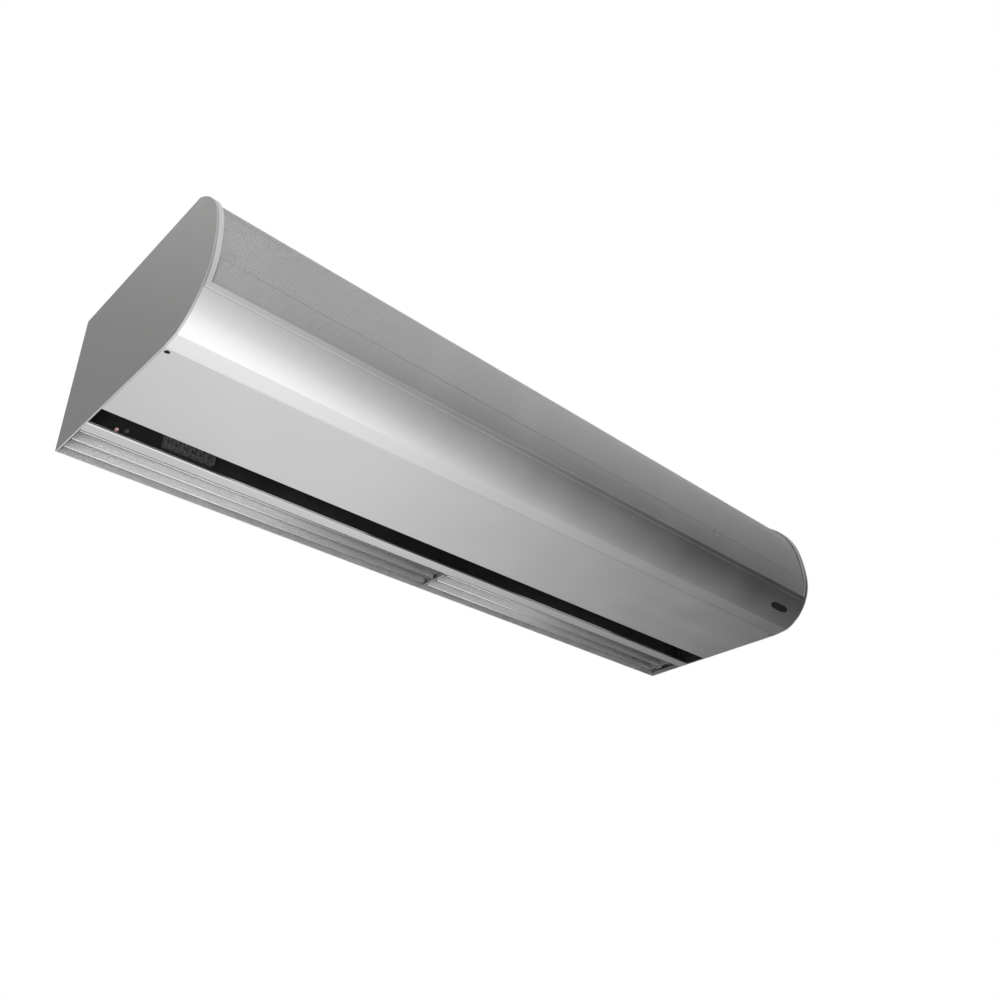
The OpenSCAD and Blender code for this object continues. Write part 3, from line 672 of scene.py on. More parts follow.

# %% [markdown]
# # The end plates
#
# Each end of the unit is one flat plate, cut to the outline of the whole unit
# and softened along its edge. It is a slightly warm grey with no screws, set
# darker than the covers though it is the same aluminium: that darker grey is
# painted shade. The outline follows the front's arcs in steps of one degree, so
# that its edge looks smooth, and a bevel rounds the rim.

# %% End plates
PLATE_BACK_R, PLATE_FRONT_R, PLATE_RIM = 0.6, 1.5, 0.4
END_OUTLINE = rounded(
    [(0, 0, PLATE_BACK_R), (PANEL_Y, 0, PLATE_FRONT_R)]
    + front_run(FACET_A, TOP_A)
    + [(0, UNIT_H, PLATE_BACK_R)]
)

for node_name, x0 in (("end_plate_left", 0), ("end_plate_right", UNIT_L - PLATE)):
    end_plate = run_piece(node_name + "_rounded", END_OUTLINE, [(x0, 0), (x0 + PLATE, 0)], END)
    settle(bevelled(end_plate, PLATE_RIM), "cabinet", "anodised_end", node_name)
    print(end_plate.name, len(end_plate.data.vertices), "points")

# %% [markdown]
# # The lower cover
#
# One bent sheet closes the front below the grille: a narrow facet along the
# bottom panel, the curve up to the seam, and a flange that folds in behind the
# seam. The bend between the facet and the curve has a radius of two
# millimetres, which draws the bright line in the photograph. The folds at the
# seams are tighter.

# %% Lower cover
COVER_A = SEAM_A + turn(SEAM_GAP, LOWER_R)
COVER_STEP = 0.75
FACET_BEND_R, FOLD_R, INNER_R = 2.0, 0.5, 0.3
# How far in from the curve the flange along the bottom panel ends
FOOT_DEPTH = 11.0


def lower_cover():
    inner_a = COVER_A + turn(SKIN, LOWER_R)
    outer = front_run(FACET_A, COVER_A, step=COVER_STEP)
    inner = front_run(FACET_A, inner_a, SKIN, step=COVER_STEP)
    fold = [front_at(COVER_A, SKIN + FLANGE), front_at(inner_a, SKIN + FLANGE)]
    foot = LOWER_C[1] - math.sqrt((LOWER_R - FOOT_DEPTH) ** 2 - (PANEL_Y - SKIN - LOWER_C[0]) ** 2)
    outline = [(PANEL_Y, 0, FOLD_R), (*outer[0], FACET_BEND_R)] + outer[1:-1] + [(*outer[-1], FOLD_R)]
    outline += fold + [(*inner[-1], INNER_R)] + list(reversed(inner[1:-1])) + [inner[0]]
    outline += [(PANEL_Y - SKIN, SKIN, INNER_R), (PANEL_Y - SKIN, foot), (PANEL_Y, foot)]
    return run_piece("lower_cover_rounded", rounded(outline, FOLD_STEPS), BETWEEN_PLATES, COVER)


settle(lower_cover(), "cabinet", "anodised_cover", "lower_front_cover")
print("lower cover: from angle", round(FACET_A, 1), "to", round(COVER_A, 1))

# %% [markdown]
# # Plain meshes and cut-outs
#
# A hole for a screw has to be a real hole, or the screw can't sit in it. A
# Boolean modifier cuts it with another piece. The export wants plain meshes, so
# the result of the modifiers is kept as a new mesh and the cutters are removed.

# %% Cut-outs


def keep_result(piece):
    """Turns a piece and its modifiers into one plain mesh."""
    bpy.context.view_layer.update()
    graph = bpy.context.evaluated_depsgraph_get()
    shaped = bpy.data.meshes.new_from_object(piece.evaluated_get(graph))
    piece.modifiers.clear()
    old, piece.data = piece.data, shaped
    shaped.name = piece.name
    bpy.data.meshes.remove(old)


def cut_out(piece, cutters):
    """Cuts other pieces out of one and removes them."""
    for cutter in cutters:
        hole = piece.modifiers.new("hole", "BOOLEAN")
        hole.operation, hole.solver, hole.object = "DIFFERENCE", "EXACT", cutter
    keep_result(piece)
    smooth(piece.data)
    for cutter in cutters:
        bpy.data.meshes.remove(cutter.data)
    return piece


print("helpers for cut-outs:", keep_result.__name__, "and", cut_out.__name__)

# %% [markdown]
# # The bottom panel
#
# The bottom is a shallow pan with a flange along both long edges. Two
# countersunk screws hold its front corners. The pan is an outline run along X,
# and two cones cut the countersinks.

# %% Bottom panel
SLOT_Y = -127.8
SLOT_EDGE_R, SEAM_EDGE_R = 1.5, 1.2
SCREW_INSET = 8.0
SCREW_AT = [(x, PANEL_Y + SCREW_INSET) for x in (SCREW_INSET, UNIT_L - SCREW_INSET)]
# The countersinks' radii at both ends, their height, and how far below the panel they start
SINK_R, SINK_TIP_R, SINK_H, SINK_BELOW = 3.9, 1.5, 3.0, 0.5
SINK_SIDES = 32


def countersink(x, y):
    bm = bmesh.new()
    middle = place(x, y, SINK_H / 2 - SINK_BELOW)
    bmesh.ops.create_cone(
        bm, cap_ends=True, segments=SINK_SIDES, radius1=SINK_R * MM, radius2=SINK_TIP_R * MM,
        depth=SINK_H * MM, matrix=Matrix.Translation(middle),
    )
    return finish_mesh("countersink", bm, BLACKENED)


def bottom_panel():
    front = PANEL_Y + SEAM_GAP
    outline = [
        (SLOT_Y, 0, SLOT_EDGE_R), (SLOT_Y, FLANGE, FOLD_R),
        (SLOT_Y - SKIN, FLANGE, FOLD_R), (SLOT_Y - SKIN, SKIN, INNER_R),
        (front + SKIN, SKIN, INNER_R), (front + SKIN, FLANGE, FOLD_R),
        (front, FLANGE, FOLD_R), (front, 0, SEAM_EDGE_R),
    ]
    panel = run_piece("bottom_panel_rounded", rounded(outline, FOLD_STEPS), BETWEEN_PLATES, COVER)
    return cut_out(panel, [countersink(x, y) for x, y in SCREW_AT])


settle(bottom_panel(), "cabinet", "anodised_cover", "bottom_panel")
print("bottom panel:", round(SLOT_Y - PANEL_Y, 1), "mm deep with", len(SCREW_AT), "countersinks")

# %% [markdown]
# # The grille frame
#
# Above the seam a curved sheet with one long window frames the grille. It is a
# grid of faces on the front's curve with the window left out, thickened inwards
# by Solidify and softened by Bevel. The rim of the window is what throws the
# small shadow on the grille behind it.

# %% Grille frame
FRAME_W, FRAME_T, FRAME_EDGE = 10.0, 3.0, 1.0


def grille_frame():
    low = front_run(SEAM_A, WINDOW_A)
    middle = front_run(WINDOW_A, WINDOW_TOP_A)
    high = front_run(WINDOW_TOP_A, TOP_A)
    rows = low + middle[1:] + high[1:]
    columns = [PLATE, FRAME_W, UNIT_L - FRAME_W, UNIT_L - PLATE]
    bm = bmesh.new()
    grid = [[bm.verts.new(place(x, y, z)) for x in columns] for y, z in rows]
    for r in range(len(rows) - 1):
        beside_window = len(low) - 1 <= r < len(low) + len(middle) - 2
        for c in range(len(columns) - 1):
            if not (beside_window and c == 1):
                bm.faces.new((grid[r][c], grid[r][c + 1], grid[r + 1][c + 1], grid[r + 1][c]))
    for face in bm.faces:
        face.normal_update()
    if sum(face.normal.y for face in bm.faces) > 0:
        bmesh.ops.reverse_faces(bm, faces=bm.faces)
    mesh = bpy.data.meshes.new("grille_frame_rounded")
    bm.to_mesh(mesh)
    bm.free()
    mesh.shade_smooth()
    piece = give(in_scene(mesh.name, mesh), COVER)
    wall = piece.modifiers.new("wall", "SOLIDIFY")
    wall.thickness, wall.offset, wall.use_even_offset = FRAME_T * MM, -1, True
    print(piece.name, len(mesh.polygons), "faces before its wall")
    return bevelled(piece, FRAME_EDGE, 4)


settle(grille_frame(), "cabinet", "anodised_cover", "grille_frame")

# %% [markdown]
# # Trees that make what repeats
#
# A perforated sheet and a row of screws are one small shape many times over.
# Geometry Nodes draw that shape once and set it where it belongs. Each tree has
# named inputs for its sizes. It ends by making the copies real, because the
# export drops instances, and its result is kept as a plain mesh.

# %% Geometry trees
WELD = 1e-5


class GeometryTree(Tree):
    """A Geometry Nodes tree with named inputs."""

    def __init__(self, name, **sizes):
        group = bpy.data.node_groups.new(name, "GeometryNodeTree")
        group.interface.new_socket("Geometry", in_out="INPUT", socket_type="NodeSocketGeometry")
        group.interface.new_socket("Geometry", in_out="OUTPUT", socket_type="NodeSocketGeometry")
        self.ids = {}
        for title, value in sizes.items():
            kind = "NodeSocketInt" if isinstance(value, int) else "NodeSocketFloat"
            if isinstance(value, bpy.types.Material):
                kind = "NodeSocketMaterial"
            if isinstance(value, bpy.types.Object):
                kind = "NodeSocketObject"
            socket = group.interface.new_socket(title, in_out="INPUT", socket_type=kind)
            self.ids[title] = socket.identifier
        super().__init__(group)
        self.group = group
        self.sizes = sizes
        self.given = self.node("NodeGroupInput")

    def end(self, geometry, finish):
        real = self.node("GeometryNodeRealizeInstances", {}, {"Geometry": geometry})["Geometry"]
        weld = {"Geometry": real, "Distance": WELD}
        merged = self.node("GeometryNodeMergeByDistance", {}, weld)["Geometry"]
        done = self.node("GeometryNodeSetMaterial", {}, {"Geometry": merged, "Material": finish})["Geometry"]
        self.node("NodeGroupOutput", {}, {"Geometry": done})

    def apply(self, piece, **changed):
        """Runs the tree on a piece and keeps the result as a plain mesh."""
        run = piece.modifiers.new("tree", "NODES")
        run.node_group = self.group
        for title, value in {**self.sizes, **changed}.items():
            run[self.ids[title]] = value
        keep_result(piece)


print("two copied points closer than", WELD, "m become one")

# %% [markdown]
# # The perforated grille
#
# Behind the window lies a sheet with thousands of tiny staggered holes, too
# fine to see one by one from where the photograph was taken. A six-sided cell
# with a round hole is set on a staggered grid, the cells are made real and then
# bent onto the curve by sampling it at each point's distance along it. Low
# down, a fine joint runs between two lengths of sheet.

# %% Grille tree
HOLE_PITCH, HOLE_R, HOLE_SIDES = 2.2, 0.58, 8
# How far up the sheet the joint lies, and its width
JOINT_AT, JOINT_W = 35.5, 0.4


def holed_cell(tree):
    """One cell of the sheet: the face between a hexagon and a round hole."""
    circle = "GeometryNodeCurvePrimitiveCircle"
    corner = tree.given["Pitch"] / math.sqrt(3)
    hexagon = tree.node(circle, {}, {"Resolution": 6, "Radius": corner})["Curve"]
    upright = {"Geometry": hexagon, "Rotation": (0, 0, math.pi / 6)}
    rim = tree.node("GeometryNodeTransform", {}, upright)["Geometry"]
    hole = tree.node(circle, {}, {"Resolution": HOLE_SIDES, "Radius": tree.given["Hole"]})["Curve"]
    both = tree.node("GeometryNodeJoinGeometry", {}, {"Geometry": rim})
    tree.feed(both.node.inputs["Geometry"], hole)
    return tree.node("GeometryNodeFillCurve", {}, {"Curve": both["Geometry"]})["Mesh"]


def staggered(tree, cell):
    """The flat sheet: cells numbered row by row, each odd row half a pitch aside."""
    given = tree.given
    pitch, columns = given["Pitch"], given["Columns"]
    points = tree.node("GeometryNodePoints", {}, {"Count": columns * given["Rows"]})["Points"]
    number = tree.node("GeometryNodeInputIndex")["Index"]
    row = tree.node("ShaderNodeMath", {"operation": "FLOOR"}, {0: (number + 0.5) / columns})[0]
    column = number - row * columns
    odd = tree.node("ShaderNodeMath", {"operation": "MODULO"}, {0: row, 1: 2.0})[0]
    across = given["Start"] + (column + odd * 0.5) * pitch
    along = row * pitch * (math.sqrt(3) / 2) + (row > given["Low_rows"]) * given["Joint"]
    at = tree.node("ShaderNodeCombineXYZ", {}, {"X": across, "Y": along})["Vector"]
    spread = tree.node("GeometryNodeSetPosition", {}, {"Geometry": points, "Position": at})["Geometry"]
    copies = {"Points": spread, "Instance": cell}
    cells = tree.node("GeometryNodeInstanceOnPoints", {}, copies)["Instances"]
    return tree.node("GeometryNodeRealizeInstances", {}, {"Geometry": cells})["Geometry"]


def onto_curve(tree, flat):
    """The flat sheet bent onto the curve that the piece itself carries."""
    line = tree.node("GeometryNodeMeshToCurve", {}, {"Mesh": tree.given["Geometry"]})["Curve"]
    position = tree.node("GeometryNodeInputPosition")["Position"]
    here = tree.node("ShaderNodeSeparateXYZ", {}, {"Vector": position})
    distance = {"Curves": line, "Length": here["Y"]}
    sampled = tree.node("GeometryNodeSampleCurve", {"mode": "LENGTH"}, distance)["Position"]
    on_curve = tree.node("ShaderNodeSeparateXYZ", {}, {"Vector": sampled})
    parts = {"X": here["X"], "Y": on_curve["Y"], "Z": on_curve["Z"]}
    bent = tree.node("ShaderNodeCombineXYZ", {}, parts)["Vector"]
    return tree.node("GeometryNodeSetPosition", {}, {"Geometry": flat, "Position": bent})["Geometry"]


def grille_tree():
    tree = GeometryTree(
        "perforated sheet", Start=0.0, Columns=10, Rows=10, Pitch=HOLE_PITCH * MM, Hole=HOLE_R * MM,
        Low_rows=10, Joint=JOINT_W * MM, Finish=GRILLE,
    )
    flat = staggered(tree, holed_cell(tree))
    tree.end(onto_curve(tree, flat), tree.given["Finish"])
    return tree


SHEET = grille_tree()
print("grille tree:", len(SHEET.group.nodes), "nodes")

# %% [markdown]
# # Lay the sheet behind the window
#
# The sheet follows the front's curve a little behind the frame. It is made in
# six lengths, so that each piece stays under 200,000 triangles. Each length
# starts from a plain line, the curve itself, which the tree turns into sheet.

# %% Grille
# How far the sheet reaches under the frame, its play behind the frame, and its distance from both ends
GRILLE_LAP, GRILLE_PLAY, GRILLE_END = 3.0, 0.35, 7.0
GRILLE_STEP, LENGTHS = 0.5, 6


def grille_line():
    """The sheet's own curve as points (y, z), and its length."""
    low, high = WINDOW_A + turn(GRILLE_LAP, LOWER_R), WINDOW_TOP_A - turn(GRILLE_LAP, UPPER_R)
    points = front_run(low, high, FRAME_T + GRILLE_PLAY, GRILLE_STEP)
    return points, sum(math.dist(a, b) for a, b in zip(points, points[1:]))


def line_piece(name, points):
    mesh = bpy.data.meshes.new(name)
    edges = [(i, i + 1) for i in range(len(points) - 1)]
    mesh.from_pydata([place(0, y, z) for y, z in points], edges, [])
    return in_scene(name, mesh)


curve, curve_length = grille_line()
row_pitch = HOLE_PITCH * math.sqrt(3) / 2
row_count = int((curve_length - JOINT_W) / row_pitch) + 1
low_rows = int(JOINT_AT / row_pitch)
column_count = int((UNIT_L - 2 * GRILLE_END) / HOLE_PITCH / LENGTHS)
for i in range(LENGTHS):
    start = place(UNIT_L / 2 + (i - LENGTHS / 2) * column_count * HOLE_PITCH, 0, 0).x
    sheet = line_piece("perforated_grille_%d" % (i + 1), curve)
    SHEET.apply(sheet, Start=start, Columns=column_count, Rows=row_count, Low_rows=low_rows)
    settle(sheet, "cabinet", "anodised_cover", "intake_grille")
    print(sheet.name, column_count * row_count, "holes,", len(sheet.data.polygons), "faces")

# %% [markdown]
# # The lip
#
# A narrow lip closes the front of the nozzle. It is bent sheet with a rolled
# front edge and a leg that stands against the black nozzle wall, so it is one
# outline again. The third number of each point is the radius of its corner.

# %% Lip
# The nozzle wall's inner face, and the lip's front edge
NOZZLE_Y, LIP_Y, LIP_H = -69.0, -88.8, 4.0
LEG_Y = NOZZLE_Y - WALL - SEAT


def nozzle_lip():
    folded, leg_top = LIP_Y + SKIN, SKIN + FLANGE
    outline = [
        (NOZZLE_Y, 0, 0.6), (LIP_Y, 0, 1.6), (LIP_Y, LIP_H, 0.8), (folded, LIP_H, 0.6),
        (folded, SKIN, 0.4), (LEG_Y - SKIN, SKIN, 0.4), (LEG_Y - SKIN, leg_top, 0.5),
        (LEG_Y, leg_top, 0.5), (LEG_Y, SKIN, 0), (NOZZLE_Y, SKIN, 0.4),
    ]
    return run_piece("nozzle_lip_rounded", rounded(outline, FOLD_STEPS), BETWEEN_PLATES, COVER)


settle(nozzle_lip(), "cabinet", "anodised_cover", "nozzle_lip")
print("lip:", round(NOZZLE_Y - LIP_Y, 1), "mm deep, the slot in front of it", round(LIP_Y - SLOT_Y, 1), "mm")

# %% [markdown]
# # Blanks at the ends of the lower slot
#
# A thin black sheet with round corners covers the bright inner face of each end
# plate in the lower slot. The sheets are painted shade: they keep the slot as
# dark at its ends as along its length.

# %% Blanks
BLANK_LOW, BLANK_HIGH, BLANK_GAP = 1.2, 70.0, 0.4
BLANK_T, BLANK_EDGE, BLANK_PLAY = 1.0, 0.2, 0.1
BLANK_LOW_R, BLANK_HIGH_R = 2, 8


# A blank is a black sheet of painted shade.
def slot_shade_blank(name, x):
    front, back = SLOT_Y + BLANK_GAP, LEG_Y - SKIN - BLANK_GAP
    outline = [
        (front, BLANK_LOW, BLANK_LOW_R), (back, BLANK_LOW, BLANK_LOW_R),
        (back, BLANK_HIGH, BLANK_HIGH_R), (front, BLANK_HIGH, BLANK_HIGH_R),
    ]
    return run_piece(name, rounded(outline, FOLD_STEPS), soft_ends(x, x + BLANK_T, BLANK_EDGE), BLACK_PAINT_AND_SHADE)


for name, x in (
    ("slot_blank_left", PLATE + BLANK_PLAY),
    ("slot_blank_right", UNIT_L - PLATE - BLANK_PLAY - BLANK_T),
):
    settle(slot_shade_blank(name, x), "cabinet", "black_sheet")
    print(name, "at x =", round(x, 1))

# %% [markdown]
# # The vanes
#
# Three vanes with a tapered section steer the air. Each is an extrusion: two
# arcs at its tips and a round core between them, joined by the lines that touch
# both. The middle comb breaks each vane in two, and a vane turns with its own
# CAD body.

# %% Vanes
VANE_LIFT, VANE_HALF, VANE_PITCH = 4.5, 14.0, 23.5
VANE_Z = VANE_LIFT + VANE_HALF
CORE_R, TAIL_R, NOSE_TIP_R = 3.5, 0.8, 1.2
VANE_START, VANE_END, MID_GAP = 5.8, 1192.5, 10.0
VANE_RUNS = [(VANE_START, (UNIT_L - MID_GAP) / 2), ((UNIT_L + MID_GAP) / 2, VANE_END)]
VANE_EDGE, VANE_SHARP = 0.3, 50


def vane_outline(y):
    """Right half from the low tip to the high tip, then the left half back."""
    half = []
    for sign, tip in ((-1, TAIL_R), (1, NOSE_TIP_R)):
        reach = VANE_HALF - tip
        lean = math.degrees(math.asin((CORE_R - tip) / reach))
        tip_arc = [(tip, sign * reach, a) for a in (90, 75, 60, 45, 30, lean)]
        core_arc = [(CORE_R, 0, a) for a in (lean, lean / 2, 0)[: 2 if sign < 0 else 3]]
        points = [
            (r * math.cos(math.radians(a)), c + sign * r * math.sin(math.radians(a)))
            for r, c, a in tip_arc + core_arc
        ]
        last, first = Vector(points[len(tip_arc) - 1]), Vector(points[len(tip_arc)])
        held = (first - last).normalized() * HOLD
        points[len(tip_arc):len(tip_arc)] = [tuple(last + held), tuple(first - held)]
        half += points if sign < 0 else list(reversed(points))
    right_side = [(y + p[0], VANE_Z + p[1]) for p in half]
    left_side = [(y - p[0], VANE_Z + p[1]) for p in reversed(half[1:-1])]
    return right_side + left_side


for i, row in enumerate(("rear", "middle", "front")):
    bm = bmesh.new()
    for x0, x1 in VANE_RUNS:
        add_run(bm, vane_outline(-(i + 0.5) * VANE_PITCH), soft_ends(x0, x1, VANE_EDGE))
    vane = finish_mesh("vane_%s_airfoil" % row, bm, VANE, VANE_SHARP)
    settle(vane, row + "_vane_set", "anodised_vane", "vane_" + row)
    print(vane.name, "runs", VANE_RUNS)

# %% [markdown]
# # Copies on points
#
# Two blackened countersunk screws hold the bottom panel, and twelve small
# plated ones sit on the terminal strip. One of each kind is made, and Geometry
# Nodes set copies of it on points, so that a screw is drawn only once.

# %% Screw tree


def repeat_tree():
    """Copies of a piece on points. The camera only says that Piece is an object."""
    tree = GeometryTree("copies on points", Piece=camera, Finish=STEEL)
    given = tree.given
    pattern = {"Object": given["Piece"], "As Instance": True}
    piece = tree.node("GeometryNodeObjectInfo", {}, pattern)["Geometry"]
    points = tree.node("GeometryNodeMeshToPoints", {}, {"Mesh": given["Geometry"]})["Points"]
    copies = tree.node("GeometryNodeInstanceOnPoints", {}, {"Points": points, "Instance": piece})
    tree.end(copies["Instances"], given["Finish"])
    return tree


COPIES = repeat_tree()


def set_on(name, pattern, points, finish):
    """Copies of a pattern piece, drawn about the origin, on points in drawing millimetres."""
    mesh = bpy.data.meshes.new(name)
    mesh.from_pydata([place(*p) for p in points], [], [])
    piece = in_scene(name, mesh)
    COPIES.apply(piece, Piece=pattern, Finish=finish)
    smooth(piece.data)
    bpy.data.objects.remove(pattern)
    return piece


print("screw tree:", len(COPIES.group.nodes), "nodes")

# %% [markdown]
# # Screws
#
# A screw is a turned part, so it starts as a profile of radius and height that
# is swept round an axis. The countersunk ones get a cross in the head and the
# ones on the strip a slot, each cut by plain bars.

# %% Screws
SCREW_SIDES = 28
PANEL_SCREW = [(2.8, 0.15), (3.2, 0.35), (1.6, 1.95), (1.6, 8.6), (1.0, 9.0)]
CROSS_L, CROSS_W, CROSS_H, CROSS_Z = 3.4, 0.7, 2.0, 0.5
STRIP_SCREW = [(2.5, 0), (2.5, 1.2), (2.1, 1.8), (1.2, 2.0)]
CUT_L, CUT_H, CUT_W, CUT_Y = 6, 1.6, 0.7, -1.8
# The terminal strip: its left end, length, depth, and the height of its middle
STRIP_X, STRIP_L, STRIP_D, STRIP_Z = 106.5, 72.0, 6.0, 28.0
# Its ways, the fins between them, and how far its screws lie above and below the middle
WAYS, FIN, SCREW_UP = 6, 2.0, 5.0


def turned(name, profile, axis, sides=SCREW_SIDES):
    """A solid turned from (radius, height) points about the origin, heights along an axis."""
    aimed = Vector(axis).to_track_quat("Z", "Y").to_matrix()
    angles = [2 * math.pi * i / sides for i in range(sides)]
    bm = bmesh.new()
    rings = []
    for radius, height in profile:
        circle = [(radius * math.cos(a), radius * math.sin(a), height) for a in angles]
        rings.append([bm.verts.new(aimed @ Vector(point) * MM) for point in circle])
    close_shell(bm, rings)
    return finish_mesh(name, bm, STEEL)


def bar(size, centre):
    bm = bmesh.new()
    bmesh.ops.create_cube(bm, size=1.0)
    for v in bm.verts:
        v.co = Vector(c + p * s for c, p, s in zip(centre, v.co, size)) * MM
    return finish_mesh("bar", bm, STEEL)


cross = [(CROSS_L, CROSS_W, CROSS_H), (CROSS_W, CROSS_L, CROSS_H)]
panel_screw = turned("panel_screw", PANEL_SCREW, (0, 0, 1))
cut_out(panel_screw, [bar(size, (0, 0, CROSS_Z)) for size in cross])
screws = set_on("panel_screws_crossed", panel_screw, [(x, y, 0) for x, y in SCREW_AT], BLACKENED)
settle(screws, "cabinet", "blackened_screw", "panel_screws")

strip_screw = turned("strip_screw", STRIP_SCREW, (0, -1, 0))
cut_out(strip_screw, [bar((CUT_L, CUT_H, CUT_W), (0, CUT_Y, 0))])
way = (STRIP_L - FIN) / WAYS
strip_points = [
    (STRIP_X + (i + 0.5) * way + FIN / 2, LEG_Y - STRIP_D, STRIP_Z + side * SCREW_UP)
    for i in range(WAYS)
    for side in (-1, 1)
]
screws = set_on("terminal_screws_slotted", strip_screw, strip_points, STEEL)
settle(screws, "cabinet", "steel", "terminal_screws")
print("screws:", len(SCREW_AT), "and", len(strip_points))

# %% [markdown]
# # A bare plate
#
# Near the right end the lower cover carries a small dark oval plate of enamel.
# It follows the curve of the cover, so it is built in the angle and length of
# the curve instead of flat. Its rings rise from inside the cover to a soft rim
# and a face that is a little hollow.

# %% Bare plate
OVAL_X, OVAL_A = 1154.0, low_angle(19.6)
OVAL_HALF_L, OVAL_HALF_W, OVAL_SIDES = 25.0, 6.2, 56
# Powers under one fill out the corners of an ellipse
OVAL_POWER_L, OVAL_POWER_W = 0.7, 0.85
# Each ring's share of the full size, and its lift above the cover
OVAL_RINGS = ((1.0, -0.4), (1.0, 0.55), (0.985, 0.8), (0.95, 0.9), (0.9, 0.8), (0.5, 0.84), (0.2, 0.86))
FLOW, FLOW_DEPTH = 140, 0.00003


def enamel():
    made = Finish("black_enamel", **{"Coat Roughness": 0.2})
    flow = made.noise(FLOW, 2.0)
    colour = made.between(made.spread(flow, 0, 1), grey(0.012), grey(0.02, 0.02))
    roughness = made.spread(flow, 0.3, 0.4)
    normal = made.bump(flow, FLOW_DEPTH, 0.3)
    return made.set(Base_Color=colour, Roughness=roughness, Coat_Weight=0.3, Normal=normal)


def bare_plate():
    bm = bmesh.new()
    rings = []
    for share, lift in OVAL_RINGS:
        ring = []
        for i in range(OVAL_SIDES):
            a = 2 * math.pi * i / OVAL_SIDES
            c, s = math.cos(a), math.sin(a)
            x = OVAL_X + share * OVAL_HALF_L * math.copysign(abs(c) ** OVAL_POWER_L, c)
            w = share * OVAL_HALF_W * math.copysign(abs(s) ** OVAL_POWER_W, s)
            y, z = front_at(OVAL_A - turn(w, LOWER_R), -lift)
            ring.append(bm.verts.new(place(x, y, z)))
        rings.append(ring)
    close_shell(bm, rings)
    return finish_mesh("bare_plate", bm, enamel())


oval = bare_plate()
settle(oval, "cabinet", "blackened_screw")
print(oval.name, "of", 2 * OVAL_HALF_L, "x", 2 * OVAL_HALF_W, "mm")

# %% [markdown]
# # Two wire caps
#
# In the lower slot near the left end a red and a grey cap close wire joints on
# the black nozzle wall. Both are turned from one profile, given as shares of
# half their width.

# %% Wire caps
CAP_PROFILE_SHARES = [(0.72, 0), (1.0, 0.2), (0.94, 1.3), (0.72, 1.8), (0.3, 2.0)]
CAP_SIDES = 24


def wire_cap(name, x, z, width, finish):
    profile = [(radius * width / 2, height * width / 2) for radius, height in CAP_PROFILE_SHARES]
    cap = turned(name, profile, (0, -1, 0), CAP_SIDES)
    for v in cap.data.vertices:
        v.co += place(x, NOZZLE_Y - WALL, z)
    return give(cap, finish)


for name, x, z, width, finish in (
    ("wire_cap_red", 45, 18, 5.4, RED_PLASTIC),
    ("wire_cap_grey", 58, 21, 6.4, GREY_PLASTIC),
):
    settle(wire_cap(name, x, z, width, finish), "cabinet", "grey_plastic")
    print(name, width, "mm wide")

# %% [markdown]
# # The floor
#
# The unit hangs above a plain pale floor that takes its shadow. For the camera
# alone the floor glows a little, so that it stays pale under the soft light.
# Reflections don't see it: they see the surroundings below instead.

# %% Floor
FLOOR_Z, FLOOR_HALF = -1.3, 12.0
FLOOR_GLOW = 0.6


def pale_floor():
    made = Finish("pale_floor")
    patch = made.noise(3, 3.0)
    colour = made.between(made.spread(patch, 0, 1), grey(0.84), grey(0.88, 0.01))
    floor_finish = made.set(Base_Color=colour, Roughness=made.spread(patch, 0.85, 0.95))
    lit = made.node("ShaderNodeEmission", {}, {"Color": grey(1.0), "Strength": 1.0})["Emission"]
    seen = made.node("ShaderNodeLightPath")["Is Camera Ray"] * FLOOR_GLOW
    both = made.node("ShaderNodeMixShader", {}, {0: seen, 1: made.shader["BSDF"], 2: lit})["Shader"]
    made.feed(made.output.node.inputs["Surface"], both)
    return floor_finish


floor_mesh = bpy.data.meshes.new("floor")
corners = [(x * FLOOR_HALF, y * FLOOR_HALF, FLOOR_Z) for x, y in ((-1, -1), (1, -1), (1, 1), (-1, 1))]
floor_mesh.from_pydata(corners, [], [(0, 1, 2, 3)])
floor = give(in_scene("floor", floor_mesh), pale_floor())
floor.visible_glossy = False
floor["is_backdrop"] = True
print("floor", round(cad_box[0][2] - FLOOR_Z, 2), "m below the unit")

# %% [markdown]
# # The surroundings
#
# The camera sees a plain white background. Metal shows what is around it, so
# its reflections see a soft room instead: brighter below, dark to the right,
# and dimmer at the back and to the left. That is what makes the covers fade
# along their length. All other light from around is faint and even.

# %% Surroundings
# The side that the room darkens towards, and how much later it does so overhead
DARK_SIDE, OVERHEAD_SHARE = (1.0, -0.15, -0.03), 0.31
FADE_POWER, FILL = 1.7, 0.3

world = bpy.data.worlds.new("studio")
world.use_nodes = True
bpy.context.scene.world = world
studio = Tree(world.node_tree)
direction = studio.node("ShaderNodeTexCoord")["Generated"]
toward = studio.node("ShaderNodeSeparateXYZ", {}, {"Vector": direction})
dark_side = {0: direction, 1: DARK_SIDE}
sideways = studio.node("ShaderNodeVectorMath", {"operation": "DOT_PRODUCT"}, dark_side)["Value"]
overhead = toward["Z"].math("MAXIMUM", toward["Z"], 0.0)


def eased(value, start, end, low, high, kind="SMOOTHSTEP"):
    """The value's range from start to end, turned into one from low to high."""
    inputs = {"Value": value, 1: start, 2: end, 3: low, 4: high}
    return studio.node("ShaderNodeMapRange", {"interpolation_type": kind}, inputs)["Result"]


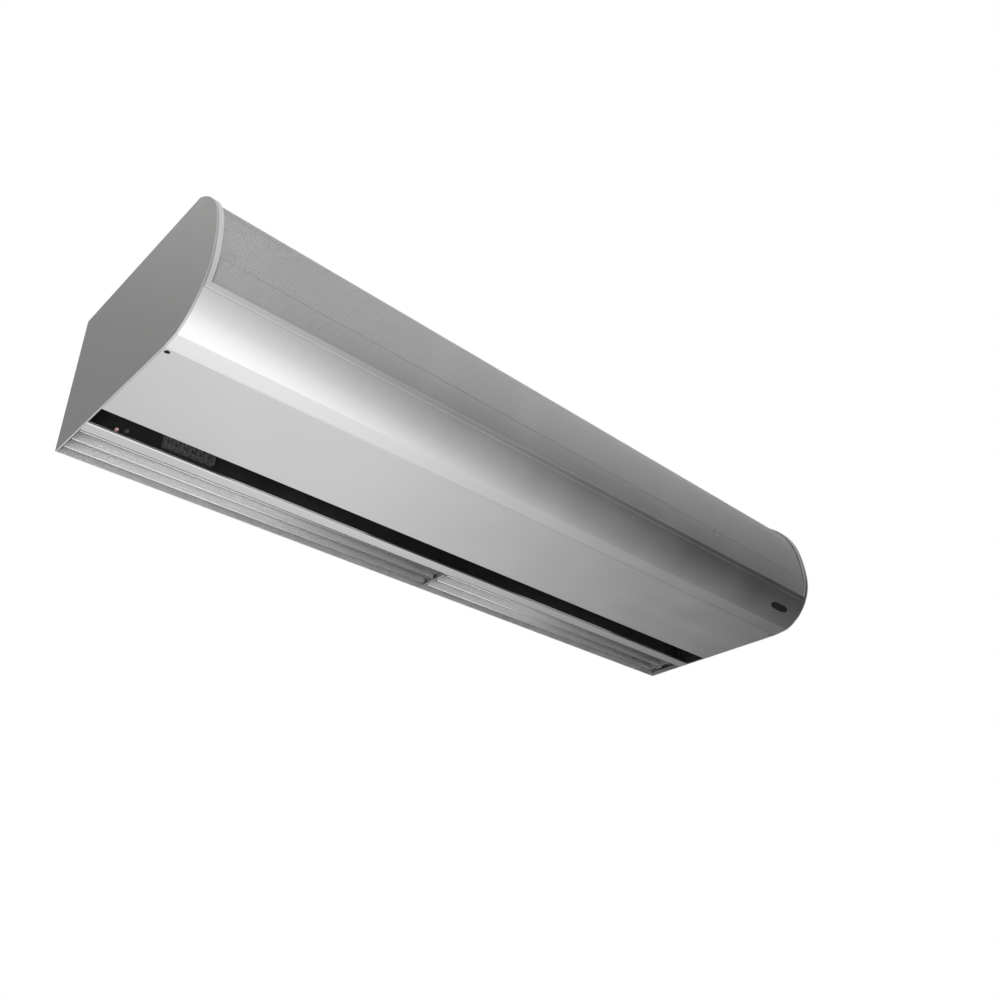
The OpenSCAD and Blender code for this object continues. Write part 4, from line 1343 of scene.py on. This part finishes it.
fading = eased(sideways - overhead * OVERHEAD_SHARE, 0.4, 0.9, 1.0, 0.0, "LINEAR")
fading = fading.math("POWER", fading, FADE_POWER) * eased(toward["X"], 0.7, 0.88, 1.0, 0.6)
below = eased(toward["Z"], -0.88, 0.18, 1.24, 0.74) + eased(toward["Z"], -0.96, -0.7, 0.32, 0.0)
behind = eased(toward["Y"], 0.3, 1.0, 1.0, 0.5)
far_left = eased(toward["X"], -0.35, 0.35, 0.62, 1.0) * eased(toward["X"], -0.85, -0.45, 0.6, 1.0)
room = fading * below * behind * far_left
ray = studio.node("ShaderNodeLightPath")
shiny = ray["Is Glossy Ray"] + ray["Is Transmission Ray"]
seen = ray["Is Camera Ray"] + shiny * room
soft = (1 - ray["Is Camera Ray"] - shiny) * FILL
background = studio.node("ShaderNodeBackground", {}, {"Color": (1, 1, 1, 1), "Strength": seen + soft})
studio.node("ShaderNodeOutputWorld", {}, {"Surface": background["Background"]})
print("surroundings:", len(world.node_tree.nodes), "nodes")

# %% [markdown]
# # The softboxes
#
# The key softbox stands high on the left in front of the unit, and a faint rim
# softbox high behind it on the left. A low one under the left end brightens the
# nozzle there. Key and low are hidden from reflections, so that the smooth
# covers show only the soft room.

# %% Softboxes


def softbox(name, at, aim, size, power):
    data = bpy.data.lights.new(name, "AREA")
    data.size, data.energy = size, power
    lamp = in_scene(name, data)
    lamp.location = at
    lamp.rotation_mode = "QUATERNION"
    lamp.rotation_quaternion = (Vector(aim) - Vector(at)).to_track_quat("-Z", "Y")
    lamp.visible_camera = False
    return lamp


for name, at, aim, size, power, reflected in (
    ("key softbox", (-1.6, -2.4, 1.4), (0, -0.2, 0), 1.6, 32, False),
    ("rim softbox", (-1.2, 1.1, 2.0), (-0.5, -0.2, 0), 1.0, 1.5, True),
    ("low softbox", (-0.95, -0.6, -0.55), (-0.3, -0.1, -0.1), 0.5, 7, False),
):
    softbox(name, at, aim, size, power).visible_glossy = reflected
    print(name, size, "m wide,", power, "W")

# %% [markdown]
# # Compare the boxes and finish
#
# The dressed unit has to stay inside the box of the CAD model. The CAD box is
# printed at the start, and the last line prints how far each side of the box
# has moved, in millimetres.

# %% Finish
new_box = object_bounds()
growth = [round((b - a) / MM, 3) for a, b in zip([*cad_box[0], *cad_box[1]], [*new_box[0], *new_box[1]])]
print("box change in mm:", growth)
